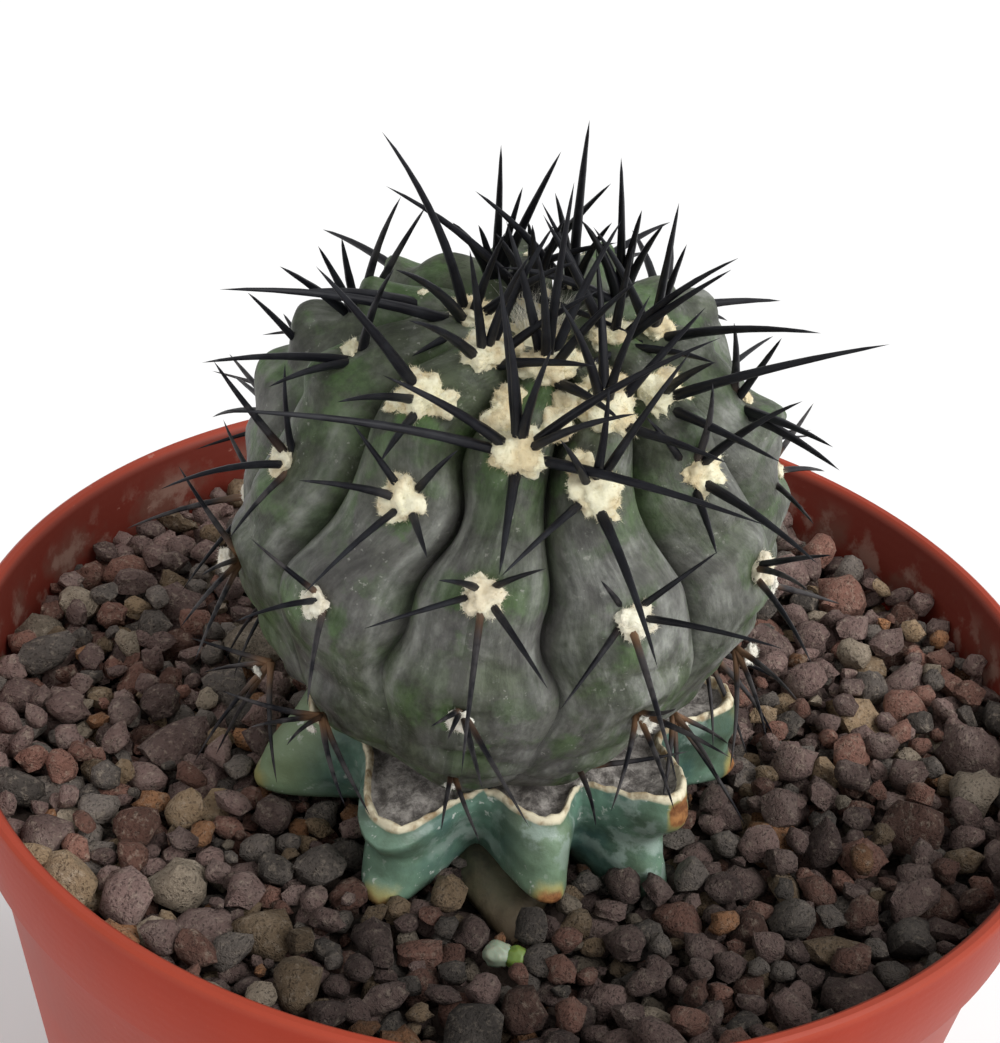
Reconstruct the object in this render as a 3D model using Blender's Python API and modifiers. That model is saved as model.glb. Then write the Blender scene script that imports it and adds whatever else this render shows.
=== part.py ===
"""A grafted copiapoa in a round plastic pot: pot, potting mix, gravel, rootstock, and the ribbed, spiny scion.

Metres, +Z up. The origin is the centre of the pot's foot, on the surface that it stands on, and -Y is the front.
The scion is one grown body: its stem, wool cushions and spines are fused. Every random draw is seeded.
"""

import math
import random

import bmesh
import bpy
from mathutils import Matrix, Vector

# Pot
POT_HEIGHT = 0.104
RIM_RADIUS = 0.060
FOOT_RADIUS = 0.042
WALL = 0.0014
COLLAR_HEIGHT = 0.0110
COLLAR_FOOT = POT_HEIGHT - COLLAR_HEIGHT
COLLAR_STEP = 0.0016
COLLAR_FLARE = 0.0011
BORE_FLARE = 0.0007
LIP = WALL / 3
FLOOR_RADIUS = 0.0374
FLOOR_BEND = 0.0025
FOOT_RECESS = 0.0024
FLOOR = FOOT_RECESS + 0.0018
FOOT_RING_WIDTH = 0.0055
FOOT_BEVEL = 0.0012
POT_STEPS = 48
DRAIN_HOLES = 6
DRAIN_HOLE_RADIUS = 0.0040
DRAIN_CIRCLE_RADIUS = 0.024
FOOT_NOTCHES = 6
FOOT_NOTCH_WIDTH = 0.006
FOOT_NOTCH_HEIGHT = 0.0013

# Fill
GAP = 0.0003
GRAVEL_TOP = 0.0952
MIX_TOP = 0.0880
STONES = 96
STONE_LENGTH = 0.0057
STONE_FIELD_RADIUS = 0.0527
STONE_RISE = 0.0042
STONE_SIZES = (0.82, 1.16)
STONE_FORM = [(0.85, 1.15), (0.75, 1.00), (0.62, 0.80)]
STONE_UNEVENNESS = (0.86, 1.12)
STONE_TILT = 0.4
NO_STONES_WITHIN = 0.0100
GRAVEL_SEED = 43

# Rootstock: a star-shaped stub, cut across, that the scion is grafted on
ROOT_X = -0.0015
ROOT_Y = -0.0075
ROOT_TOP = 0.1070
COLUMNS_A_LOBE = 6
CALLUS_RISE = 0.0005
# The cut top, from its middle out: share of the radius, height above the cut
CUT_ROWS = [(0, 0.0001), (0.80, 0.0001), (0.88, -0.0008), (0.945, CALLUS_RISE), (0.99, 0.4 * CALLUS_RISE)]
# Compass angles of its eight lobes, counted from the front towards +X
LOBES = [math.radians(a) for a in (-70, -22, 17, 46, 90, 140, 189, 240)]
# Height, radius in the valleys, radius at the lobes, from the top edge down to the buried end
ROOT_LEVELS = [
    (0.1070, 0.0183, 0.0226),
    (0.1046, 0.0187, 0.0238),
    (0.1014, 0.0181, 0.0251),
    (0.0990, 0.0168, 0.0260),
    (0.0979, 0.0152, 0.0240),
    (0.0970, 0.0140, 0.0185),
    (0.0940, 0.0132, 0.0150),
    (0.0880, 0.0122, 0.0128),
    (0.0810, 0.0100, 0.0104),
]
LOBE_SHARPNESS = 2.2
FOOT_LOBE_ANGLE = math.radians(8)
FOOT_LOBE_REACH = 0.0105
FOOT_LOBE_HEIGHT = 0.0953
FOOT_LOBE_SPREAD = 0.26
FOOT_LOBE_THICKNESS = 0.0022

# Scion
SCION_X = -0.0037
SCION_Y = -0.0075
SCION_BASE = 0.1074
LEAN = math.radians(4.0)
RIBS = 11
RIB_STEP = 2 * math.pi / RIBS
FRONT_RIB = math.radians(-94)
COLUMNS_A_RIB = 6
SCION_ROWS = 20
# Radius and height above the base of the rib crests, from the crown's centre down to the base
CREST_LINE = [
    (0.0000, 0.0400), (0.0040, 0.0412), (0.0075, 0.0424), (0.0115, 0.0423), (0.0155, 0.0402),
    (0.0197, 0.0364), (0.0232, 0.0312), (0.0258, 0.0248), (0.0270, 0.0180), (0.0264, 0.0112),
    (0.0249, 0.0056), (0.0230, 0.0020), (0.0187, 0.0000),
]
# Distance from the crown's centre along a crest, and the groove's depth there
GROOVE_DEPTHS = [
    (0.006, 0), (0.009, 0.0018), (0.014, 0.0040), (0.036, 0.0044), (0.043, 0.0028), (0.049, 0.0009), (0.054, 0),
]
GROOVE_SWAY = 0.08
# The cross-section of a rib: 1 minus the first power of the way to the groove, to the second power
RIB_ROUNDNESS = (2.4, 0.55)
CROWN_REACH = 0.012
SWELL_RISE = 0.0010
SWELL_LENGTH = 0.0048

# Areoles down each rib, from the front rib towards +X: mm from the crown's centre, degrees aside of the rib
RIB_AREOLES = [
    [(11.5, 8), (20.0, 2), (33.0, 0), (45.5, 0), (57.0, 0)],
    [(16.5, -3), (23.5, -10), (35.5, -1), (47.5, 6), (57.5, 0)],
    [(8.0, 0), (16.0, -13), (24.0, -12), (36.5, 4), (48.0, 10), (57.5, 4)],
    [(11.0, -10), (22.5, -8), (33.0, 0), (45.5, -3), (56.0, 0)],
    [(9.5, 0), (17.5, 5), (28.0, -4), (40.0, 3), (52.0, -3)],
    [(7.5, 0), (14.0, 5), (24.0, -6), (36.0, 2), (48.0, -4)],
    [(5.0, 0), (12.5, -5), (22.0, 5), (34.0, -3), (46.0, 3), (57.0, 0)],
    [(9.0, -9), (17.0, 6), (28.0, -5), (40.0, 4), (52.0, -2)],
    [(12.0, 5), (20.5, -4), (26.5, 0), (32.5, 5), (45.0, -3), (56.0, 0)],
    [(7.5, -6), (19.0, -6), (30.0, 5), (44.0, -5), (54.5, 6)],
    [(11.5, 10), (17.5, 0), (26.5, 10), (38.5, -1), (55.0, -3)],
]
CROWN_WOOL_RADIUS = 0.0050
# Distance from the crown's centre, and there: wool radius, longest spine, spine thickness at its root
WOOL_RADII = [(0.012, 0.0027), (0.022, 0.0026), (0.034, 0.0022), (0.040, 0.0017), (0.048, 0.0014), (0.060, 0.0011)]
SPINE_LENGTHS = [(0.012, 0.0240), (0.022, 0.0210), (0.034, 0.0175), (0.047, 0.0150), (0.060, 0.0125)]
SPINE_WIDTHS = [(0.018, 0.00125), (0.026, 0.00105), (0.036, 0.00085), (0.060, 0.00070)]
# Spines of the areoles that show, by (rib, row): compass angle from +X, rise in degrees, length in millimetres
SEEN_SPINES = {
    (0, 0): [(-58, 6, 13), (-81, 77, 21), (-36, 54, 15)],
    (0, 1): [
        (-92, -20, 14), (-157, 15, 28), (-24, 2, 24), (-151, 36, 17), (-141, 78, 20), (-22, 44, 24), (-40, 37, 16),
    ],
    (0, 2): [(-121, 37, 9), (-134, 9, 14), (-34, 43, 9), (-90, -24, 18), (-59, -6, 13)],
    (0, 3): [(-112, 29, 7), (-97, 20, 6), (-58, -8, 14), (-76, 8, 12)],
    (0, 4): [(-91, 11, 9), (-67, 2, 9)],
    (1, 0): [(-42, 6, 14), (-140, 61, 15)],
    (1, 1): [(-121, -6, 15), (-71, -16, 20), (-23, 67, 18), (-119, 49, 12)],
    (1, 2): [(-149, 52, 7), (-20, 56, 12), (-35, 17, 16), (-119, -11, 13), (-77, -11, 19)],
    (1, 3): [(-61, 48, 7), (-45, 15, 11), (-78, 1, 13), (-104, -8, 12)],
    (1, 4): [(2, 26, 11), (-79, 7, 8)],
    (2, 0): [(-33, 43, 16), (-31, 45, 17), (-42, 11, 13)],
    (2, 1): [(-40, 33, 27), (-53, 6, 17), (-65, 42, 12)],
    (2, 2): [(-97, 68, 13), (-143, 46, 11), (-50, 50, 17), (-57, 3, 18), (-82, -10, 11)],
    (2, 3): [(-61, 38, 13), (-72, -5, 14), (-73, 24, 12)],
    (2, 4): [(-83, -5, 12), (-97, -18, 14), (-68, 12, 11)],
    (3, 0): [(-41, 21, 20), (-89, 60, 20), (-129, -6, 17)],
    (3, 1): [(-118, 62, 12), (-77, 55, 13), (-65, 14, 17), (-62, 6, 17)],
    (3, 2): [(57, -24, 12), (72, 6, 13), (-78, 8, 13)],
    (3, 3): [(40, -29, 13)],
    (4, 0): [(-102, 65, 19), (-66, 55, 13), (-138, 22, 17)],
    (4, 1): [(31, -10, 14), (89, -1, 14), (106, 2, 15), (50, -29, 12)],
    (4, 2): [(65, -6, 13), (95, 2, 12), (80, -35, 11)],
    (5, 0): [(-90, 68, 22), (-139, 44, 18)],
    (5, 1): [(55, -1, 15), (62, -16, 14)],
    (6, 0): [(-149, 40, 22)],
    (6, 1): [(-54, 48, 17), (-97, 46, 9)],
    (7, 0): [(-92, 61, 20), (-120, 44, 12), (-105, 48, 11), (-60, 59, 20), (-45, 5, 19)],
    (7, 1): [(131, -7, 17)],
    (8, 0): [(-139, 14, 15)],
    (8, 1): [(-17, 61, 15), (-42, 67, 16), (-93, 56, 14), (-104, 49, 15), (-132, 39, 12)],
    (8, 2): [(-135, 51, 11), (112, 2, 8)],
    (8, 3): [(117, -1, 12), (115, -13, 12), (126, -32, 14)],
    (9, 0): [(-138, 60, 24), (-152, 13, 26), (-113, 34, 20), (-120, -4, 10)],
    (9, 1): [(-130, 15, 19), (-116, 9, 14), (-59, 57, 15)],
    (9, 2): [(-138, 59, 15), (-82, 74, 13), (-123, 14, 17), (-105, -9, 12)],
    (9, 3): [(-150, 67, 13), (-96, 24, 10), (-100, 2, 13), (-93, -11, 14)],
    (10, 0): [(-120, 33, 15), (-105, 63, 15), (-40, 18, 14)],
    (10, 1): [(-122, 19, 13), (-105, -11, 10), (-144, 53, 19)],
    (10, 2): [(-136, 27, 13), (-154, 60, 10), (-25, 53, 9), (-69, -3, 9), (-113, -2, 17)],
    (10, 3): [(-118, 21, 13), (-85, -15, 12), (-139, 53, 12)],
    (10, 4): [(-142, 39, 13), (-118, 32, 12), (-97, 28, 11), (-67, -1, 12), (-57, -5, 13)],
}
SPINES_AN_AREOLE = 5
# A hidden areole's fan: degrees round from the side towards the crown, degrees of tilt, share of full length
SPINE_FAN = [(178, 24, 1.00), (192, 72, 0.92), (238, 68, 0.86), (122, 68, 0.88), (300, 60, 0.66), (60, 60, 0.70)]
SPINE_APART = math.radians(34)
# Distance from the crown's centre, and the highest rise of a fan's spines there, as a share of their length
FAN_RISES = [(0.022, -0.25), (0.030, -0.10), (0.036, 0.25), (0.045, 0.9)]
SPINE_SPREADS = [(0.008, 0.55), (0.030, 1.0)]
SPINE_SIDES = 3
SPINE_BOW = 0.045
# Shares of the way along a spine, and its width there as a share of the width at its root
SPINE_TAPER = [(0.0, 1.0), (0.55, 0.82), (1.0, 0.0)]
WOOL_UNEVENNESS = (0.84, 1.14)
WOOL_FLATNESS = 0.62
BENT_SPINES_TO = 0.021
SPINE_SINK = 0.0016
CLEARANCE = 0.0010
LIFT_STEP = 0.06
LIFT_TRIES = 40

COLOURS = {
    "pot_plastic": ((0.47, 0.085, 0.042), 0.45),
    "potting_mix": ((0.045, 0.030, 0.022), 0.95),
    "lava_gravel": ((0.115, 0.070, 0.058), 0.90),
    "rootstock_skin": ((0.125, 0.225, 0.165), 0.50),
    "scion_skin": ((0.105, 0.125, 0.085), 0.65),
    "areole_wool": ((0.72, 0.66, 0.46), 0.95),
    "black_spine": ((0.012, 0.012, 0.014), 0.45),
}


def clear_scene():
    for obj in list(bpy.data.objects):
        bpy.data.objects.remove(obj)


def new_collection(name):
    collection = bpy.data.collections.new(name)
    bpy.context.scene.collection.children.link(collection)
    return collection


def material(name):
    """The named finish, made once."""
    found = bpy.data.materials.get(name)
    if found:
        return found
    colour, roughness = COLOURS[name]
    made = bpy.data.materials.new(name)
    made.use_nodes = True
    made.diffuse_color = (*colour, 1)
    shader = made.node_tree.nodes["Principled BSDF"]
    shader.inputs["Base Color"].default_value = (*colour, 1)
    shader.inputs["Roughness"].default_value = roughness
    shader.inputs["Metallic"].default_value = 0
    return made


def add_object(name, mesh, finish, collection):
    mesh.materials.append(material(finish))
    obj = bpy.data.objects.new(name, mesh)
    collection.objects.link(obj)
    return obj


def mesh_from(bm, name, smooth=True):
    mesh = bpy.data.meshes.new(name)
    for face in bm.faces:
        face.smooth = smooth
    bm.to_mesh(mesh)
    bm.free()
    return mesh


def between(table, x):
    """The value of a two-column table at x, on straight lines between its rows."""
    for (x0, y0), (x1, y1) in zip(table, table[1:]):
        if x <= x1:
            share = max(0.0, (x - x0) / (x1 - x0))
            return y0 + (y1 - y0) * share
    return table[-1][1]


def bell(distance, width):
    return math.exp(-((distance / width) ** 2))


def turned(name, profile, steps, finish, collection):
    """A solid of revolution from a profile that ends on the axis and runs down its outer side."""
    bm = bmesh.new()
    points = [bm.verts.new((radius, 0, height)) for radius, height in profile]
    for first, second in zip(points, points[1:]):
        bm.edges.new((first, second))
    obj = add_object(name, mesh_from(bm, name), finish, collection)
    screw = obj.modifiers.new("turn", "SCREW")
    screw.steps = steps
    screw.render_steps = steps
    screw.use_merge_vertices = True
    screw.merge_threshold = 0.00001
    return obj


def globe(columns, rows, place):
    """A closed ball of quads, from top to bottom, with each point where place(column share, row share) says."""
    bm = bmesh.new()
    bmesh.ops.create_uvsphere(bm, u_segments=columns, v_segments=rows, radius=1)
    for vert in bm.verts:
        turn = math.atan2(vert.co.y, vert.co.x) / (2 * math.pi) % 1
        drop = math.acos(max(-1.0, min(1.0, vert.co.z))) / math.pi
        vert.co = place(round(turn * columns) / columns, round(drop * rows) / rows)
    return bm


def apply_modifiers(obj):
    graph = bpy.context.evaluated_depsgraph_get()
    mesh = bpy.data.meshes.new_from_object(obj.evaluated_get(graph))
    obj.modifiers.clear()
    obj.data = mesh


def drop_scraps(obj):
    """Keeps the largest body of a mesh. An edge that two bodies touch along doesn't join them."""
    bm = bmesh.new()
    bm.from_mesh(obj.data)
    left = set(bm.faces)
    bodies = []
    while left:
        reached = [left.pop()]
        for face in reached:
            beside = {other for edge in face.edges if edge.is_manifold for other in edge.link_faces} & left
            left -= beside
            reached.extend(beside)
        bodies.append(reached)
    largest = max(bodies, key=len)
    scraps = [face for body in bodies if body is not largest for face in body]
    bmesh.ops.delete(bm, geom=scraps, context="FACES")
    bm.to_mesh(obj.data)
    bm.free()


def combine(obj, operation, others):
    """Joins or cuts with every mesh of a collection, applies it and removes the collection's objects."""
    boolean = obj.modifiers.new(operation.lower(), "BOOLEAN")
    boolean.operation = operation
    boolean.operand_type = "COLLECTION"
    boolean.collection = others
    boolean.solver = "MANIFOLD"
    boolean.material_mode = "TRANSFER"
    apply_modifiers(obj)
    for other in list(others.objects):
        bpy.data.objects.remove(other)
    bpy.data.collections.remove(others)
    drop_scraps(obj)


# Pot


def wall_radius(height):
    """The pot's outer radius below its collar."""
    under_collar = RIM_RADIUS - COLLAR_FLARE - COLLAR_STEP
    return FOOT_RADIUS + (under_collar - FOOT_RADIUS) * height / COLLAR_FOOT


def bore_radius(height):
    """The pot's inner radius."""
    if height <= COLLAR_FOOT - COLLAR_STEP:
        return wall_radius(height) - WALL
    in_collar = wall_radius(COLLAR_FOOT) - WALL + COLLAR_STEP
    rise = min(1.0, (height - COLLAR_FOOT) / COLLAR_HEIGHT)
    return in_collar + BORE_FLARE * max(0.0, rise)


def pot(collection):
    profile = [
        (0, FLOOR),
        (FLOOR_RADIUS, FLOOR),
        (bore_radius(FLOOR + FLOOR_BEND), FLOOR + FLOOR_BEND),
        (bore_radius(COLLAR_FOOT - COLLAR_STEP), COLLAR_FOOT - COLLAR_STEP),
        (bore_radius(COLLAR_FOOT), COLLAR_FOOT),
        (RIM_RADIUS - WALL - LIP, POT_HEIGHT - 2 * LIP),
        (RIM_RADIUS - WALL, POT_HEIGHT),
        (RIM_RADIUS - LIP, POT_HEIGHT),
        (RIM_RADIUS, POT_HEIGHT - 2 * LIP),
        (wall_radius(COLLAR_FOOT) + COLLAR_STEP, COLLAR_FOOT + LIP),
        (wall_radius(COLLAR_FOOT - 2 * LIP), COLLAR_FOOT - 2 * LIP),
        (wall_radius(FOOT_BEVEL), FOOT_BEVEL),
        (FOOT_RADIUS - FOOT_BEVEL, 0),
        (FOOT_RADIUS - FOOT_RING_WIDTH, 0),
        (FOOT_RADIUS - FOOT_RING_WIDTH - LIP, FOOT_RECESS),
        (0, FOOT_RECESS),
    ]
    made = turned("pot", profile, POT_STEPS, "pot_plastic", collection)
    cutters = new_collection("pot_cutters")
    places = [(0, 0)] + [
        (DRAIN_CIRCLE_RADIUS * math.cos(a), DRAIN_CIRCLE_RADIUS * math.sin(a))
        for a in (2 * math.pi * (i + 0.5) / DRAIN_HOLES for i in range(DRAIN_HOLES))
    ]
    for x, y in places:
        bm = bmesh.new()
        bmesh.ops.create_cone(
            bm, cap_ends=True, segments=12, radius1=DRAIN_HOLE_RADIUS, radius2=DRAIN_HOLE_RADIUS, depth=4 * FLOOR
        )
        bmesh.ops.translate(bm, verts=bm.verts, vec=(x, y, 0))
        add_object("drain_cutter", mesh_from(bm, "drain_cutter"), "pot_plastic", cutters)
    for i in range(FOOT_NOTCHES):
        bm = bmesh.new()
        bmesh.ops.create_cube(bm, size=1)
        size = (3 * FOOT_RING_WIDTH, FOOT_NOTCH_WIDTH, 2 * FOOT_NOTCH_HEIGHT)
        bmesh.ops.scale(bm, verts=bm.verts, vec=size)
        bmesh.ops.translate(bm, verts=bm.verts, vec=(FOOT_RADIUS - FOOT_RING_WIDTH / 2, 0, 0))
        turn = Matrix.Rotation(2 * math.pi * i / FOOT_NOTCHES, 3, "Z")
        bmesh.ops.rotate(bm, verts=bm.verts, matrix=turn)
        add_object("notch_cutter", mesh_from(bm, "notch_cutter"), "pot_plastic", cutters)
    combine(made, "DIFFERENCE", cutters)
    return made


# Rootstock


def lobe_share(compass):
    """1 on a lobe's ridge and 0 in the valley between two lobes."""
    turn = 2 * math.pi
    behind = min((compass - lobe) % turn for lobe in LOBES)
    ahead = min((lobe - compass) % turn for lobe in LOBES)
    aside = 2 * min(behind, ahead) / (behind + ahead) if behind + ahead else 0.0
    return math.cos(math.pi / 2 * aside) ** LOBE_SHARPNESS


def lobe_compass(turn):
    """The compass angle at a share of the way round, with as many columns between any two ridges."""
    place = turn * len(LOBES)
    before = math.floor(place)
    ends = [LOBES[i % len(LOBES)] + 2 * math.pi * (i // len(LOBES)) for i in (before, before + 1)]
    return ends[0] + (ends[1] - ends[0]) * (place - before)


def root_radius(compass, height):
    """The rootstock's outer radius at a height."""
    heights = [level[0] for level in ROOT_LEVELS][::-1]
    valley = between(list(zip(heights, [level[1] for level in ROOT_LEVELS][::-1])), height)
    lobe = between(list(zip(heights, [level[2] for level in ROOT_LEVELS][::-1])), height)
    foot_turn = (compass - FOOT_LOBE_ANGLE + math.pi) % (2 * math.pi) - math.pi
    foot = bell(foot_turn, FOOT_LOBE_SPREAD) * bell(height - FOOT_LOBE_HEIGHT, FOOT_LOBE_THICKNESS)
    return valley + (lobe - valley) * lobe_share(compass) + FOOT_LOBE_REACH * foot


def root_point(turn, drop):
    """A point of the rootstock: its cut top, then its side, then its buried end."""
    compass = lobe_compass(turn)
    heights = [level[0] for level in ROOT_LEVELS[1:]]
    rows = len(CUT_ROWS) + len(heights)
    row = round(drop * rows)
    if row < len(CUT_ROWS):
        share, rise = CUT_ROWS[row]
        radius = share * root_radius(compass, ROOT_TOP)
        height = ROOT_TOP + (rise * lobe_share(compass) if rise > 0 else rise)
    elif row < rows:
        height = heights[row - len(CUT_ROWS)]
        radius = root_radius(compass, height)
    else:
        radius = 0
        height = heights[-1]
    x = ROOT_X + radius * math.sin(compass)
    return Vector((x, ROOT_Y - radius * math.cos(compass), height))


def root_bm():
    rows = len(CUT_ROWS) + len(ROOT_LEVELS) - 1
    return globe(COLUMNS_A_LOBE * len(LOBES), rows, root_point)


def rootstock(collection):
    return add_object("rootstock", mesh_from(root_bm(), "rootstock"), "rootstock_skin", collection)


def root_cutter():
    """A collection holding the rootstock's shape, grown by a gap's width, to cut its hole with."""
    bm = root_bm()
    bm.normal_update()
    for vert, normal in [(vert, vert.normal.copy()) for vert in bm.verts]:
        vert.co += 2 * GAP * normal
    cutters = new_collection("root_cutters")
    add_object("root_cutter", mesh_from(bm, "root_cutter"), "rootstock_skin", cutters)
    return cutters


# Fill


def potting_mix(collection):
    bottom = FLOOR + GAP
    profile = [
        (0, MIX_TOP),
        (bore_radius(MIX_TOP) - GAP, MIX_TOP),
        (bore_radius(bottom + FLOOR_BEND) - GAP, bottom + FLOOR_BEND),
        (FLOOR_RADIUS - GAP, bottom),
        (0, bottom),
    ]
    made = turned("potting_mix", profile, POT_STEPS, "potting_mix", collection)
    combine(made, "DIFFERENCE", root_cutter())
    return made


def stone_bm(rng):
    """One lump of lava, of twenty uneven faces."""
    bm = bmesh.new()
    bmesh.ops.create_icosphere(bm, subdivisions=1, radius=1)
    size = STONE_LENGTH * rng.uniform(*STONE_SIZES)
    shape = [size * rng.uniform(*shares) for shares in STONE_FORM]
    for vert in bm.verts:
        vert.co = Vector(vert.co[i] * shape[i] * rng.uniform(*STONE_UNEVENNESS) for i in range(3))
    turn = Matrix.Rotation(rng.uniform(0, 2 * math.pi), 3, "Z")
    tumble = turn @ Matrix.Rotation(rng.uniform(-STONE_TILT, STONE_TILT), 3, "X")
    bmesh.ops.rotate(bm, verts=bm.verts, matrix=tumble)
    return bm


def keep_in_collar(bm):
    """Flattens a stone where it would reach below the pot's collar or into its wall."""
    for vert in bm.verts:
        vert.co.z = max(vert.co.z, COLLAR_FOOT + GAP)
        reach = vert.co.xy.length
        allowed = bore_radius(vert.co.z) - 2 * GAP
        if reach > allowed:
            vert.co.xy *= allowed / reach


def gravel(collection):
    """The top layer: one bed with its surface stones raised from it, laid out like a sunflower's seeds."""
    bottom = MIX_TOP + GAP
    profile = [
        (0, GRAVEL_TOP),
        (bore_radius(GRAVEL_TOP) - GAP, GRAVEL_TOP),
        (bore_radius(COLLAR_FOOT) - GAP, COLLAR_FOOT),
        (bore_radius(COLLAR_FOOT - COLLAR_STEP) - GAP, COLLAR_FOOT - COLLAR_STEP),
        (bore_radius(bottom) - GAP, bottom),
        (0, bottom),
    ]
    made = turned("gravel", profile, POT_STEPS, "lava_gravel", collection)
    rng = random.Random(GRAVEL_SEED)
    stones = new_collection("stones")
    golden = math.pi * (3 - math.sqrt(5))
    for i in range(STONES):
        reach = STONE_FIELD_RADIUS * math.sqrt((i + 0.5) / STONES)
        angle = i * golden + rng.uniform(-0.05, 0.05)
        place = Vector((reach * math.cos(angle), reach * math.sin(angle), GRAVEL_TOP + rng.uniform(-2, 2) * GAP))
        if (place.xy - Vector((ROOT_X, ROOT_Y))).length < NO_STONES_WITHIN:
            continue
        bm = stone_bm(rng)
        bmesh.ops.translate(bm, verts=bm.verts, vec=place)
        keep_in_collar(bm)
        add_object("stone", mesh_from(bm, "stone", smooth=False), "lava_gravel", stones)
    combine(made, "UNION", stones)
    combine(made, "DIFFERENCE", root_cutter())
    return made


# Scion


def crest_samples():
    """The crest line as close points with their distance along it, on a smooth curve through CREST_LINE."""
    knots = [Vector(p) for p in CREST_LINE]
    knots = [Vector((-knots[1].x, knots[1].y)), *knots, 2 * knots[-1] - knots[-2]]
    steps = 24
    points = []
    for a, b, c, d in zip(knots, knots[1:], knots[2:], knots[3:]):
        for i in range(steps):
            t = i / steps
            bend = (2 * a - 5 * b + 4 * c - d) * t * t + (3 * b - a - 3 * c + d) * t**3
            points.append(0.5 * (2 * b + (c - a) * t + bend))
    points.append(knots[-2])
    arcs = [0.0]
    for first, second in zip(points, points[1:]):
        arcs.append(arcs[-1] + (second - first).length)
    return points, arcs


CREST_POINTS, CREST_ARCS = crest_samples()
CREST_LENGTH = CREST_ARCS[-1]


def crest(arc):
    """The crest line's radius and height at a distance from the crown, and its direction away from the crown."""
    arc = max(0.0, min(CREST_LENGTH, arc))
    i = min(len(CREST_ARCS) - 2, next(i for i, a in enumerate(CREST_ARCS[1:]) if a >= arc - 1e-12))
    step = CREST_POINTS[i + 1] - CREST_POINTS[i]
    point = CREST_POINTS[i] + step * ((arc - CREST_ARCS[i]) / (CREST_ARCS[i + 1] - CREST_ARCS[i]))
    return point, step.normalized()


def swell(rib, arc):
    """How far a rib is swollen here: 1 at each areole, falling away between them."""
    return sum(bell(arc - at / 1000, SWELL_LENGTH) for at, _ in RIB_AREOLES[rib % RIBS])


def crest_azimuth(rib, arc):
    """Where a rib's crest lies round the stem: it weaves from areole to areole."""
    areoles_down = RIB_AREOLES[rib % RIBS]
    aside = areoles_down[-1][1]
    for (above, aside_above), (below, aside_below) in zip(areoles_down, areoles_down[1:]):
        if arc * 1000 <= below:
            share = min(1.0, max(0.0, (arc * 1000 - above) / (below - above)))
            aside = aside_above + (aside_below - aside_above) * (1 - math.cos(math.pi * share)) / 2
            break
    return FRONT_RIB + RIB_STEP * rib + math.radians(aside)


def scion_point(turn, arc):
    """A point of the stem's skin. Turn counts ribs round the stem, and arc is the distance from the crown."""
    rib = round(turn)
    across = 2 * (turn - rib)
    neighbour = rib + (1 if across > 0 else -1)
    here = swell(rib, arc)
    sway = GROOVE_SWAY * (here - swell(neighbour, arc)) * min(1.0, arc / CROWN_REACH)
    crest_here = crest_azimuth(rib, arc)
    azimuth = crest_here + abs(across) * (0.5 + sway) * (crest_azimuth(neighbour, arc) - crest_here)
    point, along = crest(arc)
    outward = Vector((-along.y, along.x))
    rib_form = max(0.0, 1 - abs(across) ** RIB_ROUNDNESS[0]) ** RIB_ROUNDNESS[1]
    raised = SWELL_RISE * here * (1 - across * across) - between(GROOVE_DEPTHS, arc) * (1 - rib_form)
    point = point + outward * raised
    radius = max(0.0, point.x)
    x = radius * math.cos(azimuth) + max(0.0, point.y) * math.tan(LEAN)
    return Vector((SCION_X + x, SCION_Y + radius * math.sin(azimuth), SCION_BASE + max(0.0, point.y)))


def scion_stem():
    """The ribbed stem: rows of points from the crown to the base, and a flat foot."""
    side_rows = SCION_ROWS - 1

    def place(turn, drop):
        row = round(drop * SCION_ROWS)
        if row > side_rows:
            return Vector((SCION_X, SCION_Y, SCION_BASE))
        return scion_point(turn * RIBS, CREST_LENGTH * row / side_rows)

    return globe(RIBS * COLUMNS_A_RIB, SCION_ROWS, place)


class Areole:
    """A wool cushion's place on the stem, with the directions that its spines are set out by."""

    def __init__(self, rib, row, arc):
        azimuth = crest_azimuth(rib, arc)
        _, along = crest(arc)
        self.arc = arc
        self.place = (rib, row)
        self.seed = 100 * rib + row
        self.root = scion_point(rib, arc)
        self.outward = Vector((-along.y * math.cos(azimuth), -along.y * math.sin(azimuth), along.x))
        self.upward = -Vector((along.x * math.cos(azimuth), along.x * math.sin(azimuth), along.y))
        self.sideways = self.upward.cross(self.outward)


def areoles():
    """Every areole down the ribs, then the woolly centre of the crown, which has no spines yet."""
    found = [Areole(rib, row, at / 1000) for rib in range(RIBS) for row, (at, _) in enumerate(RIB_AREOLES[rib])]
    return [*found, Areole(0, -1, 0.0)]


def blocked(point):
    """True where a spine would touch the gravel, the pot or the rootstock."""
    if point.xy.length > bore_radius(POT_HEIGHT) - 2 * CLEARANCE:
        return True
    if point.z < GRAVEL_TOP + STONE_RISE + CLEARANCE:
        return True
    if point.z > ROOT_TOP + CALLUS_RISE + CLEARANCE:
        return False
    compass = math.atan2(point.x - ROOT_X, ROOT_Y - point.y)
    reach = math.hypot(point.x - ROOT_X, point.y - ROOT_Y)
    return reach < root_radius(compass, min(point.z, ROOT_TOP)) + CLEARANCE


def spine_points(areole, heading, length, bow, shares):
    """Points along a spine at these shares of its length. It is sunk in the areole and bows up and outwards."""
    root = areole.root - areole.outward * SPINE_SINK
    tip = areole.root + heading * length
    lift = areole.outward + Vector((0, 0, 1))
    lift -= heading * lift.dot(heading)
    lift = lift.normalized() * (bow * length)
    return [root.lerp(tip, share) + lift * (4 * share * (1 - share)) for share in shares]


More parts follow.
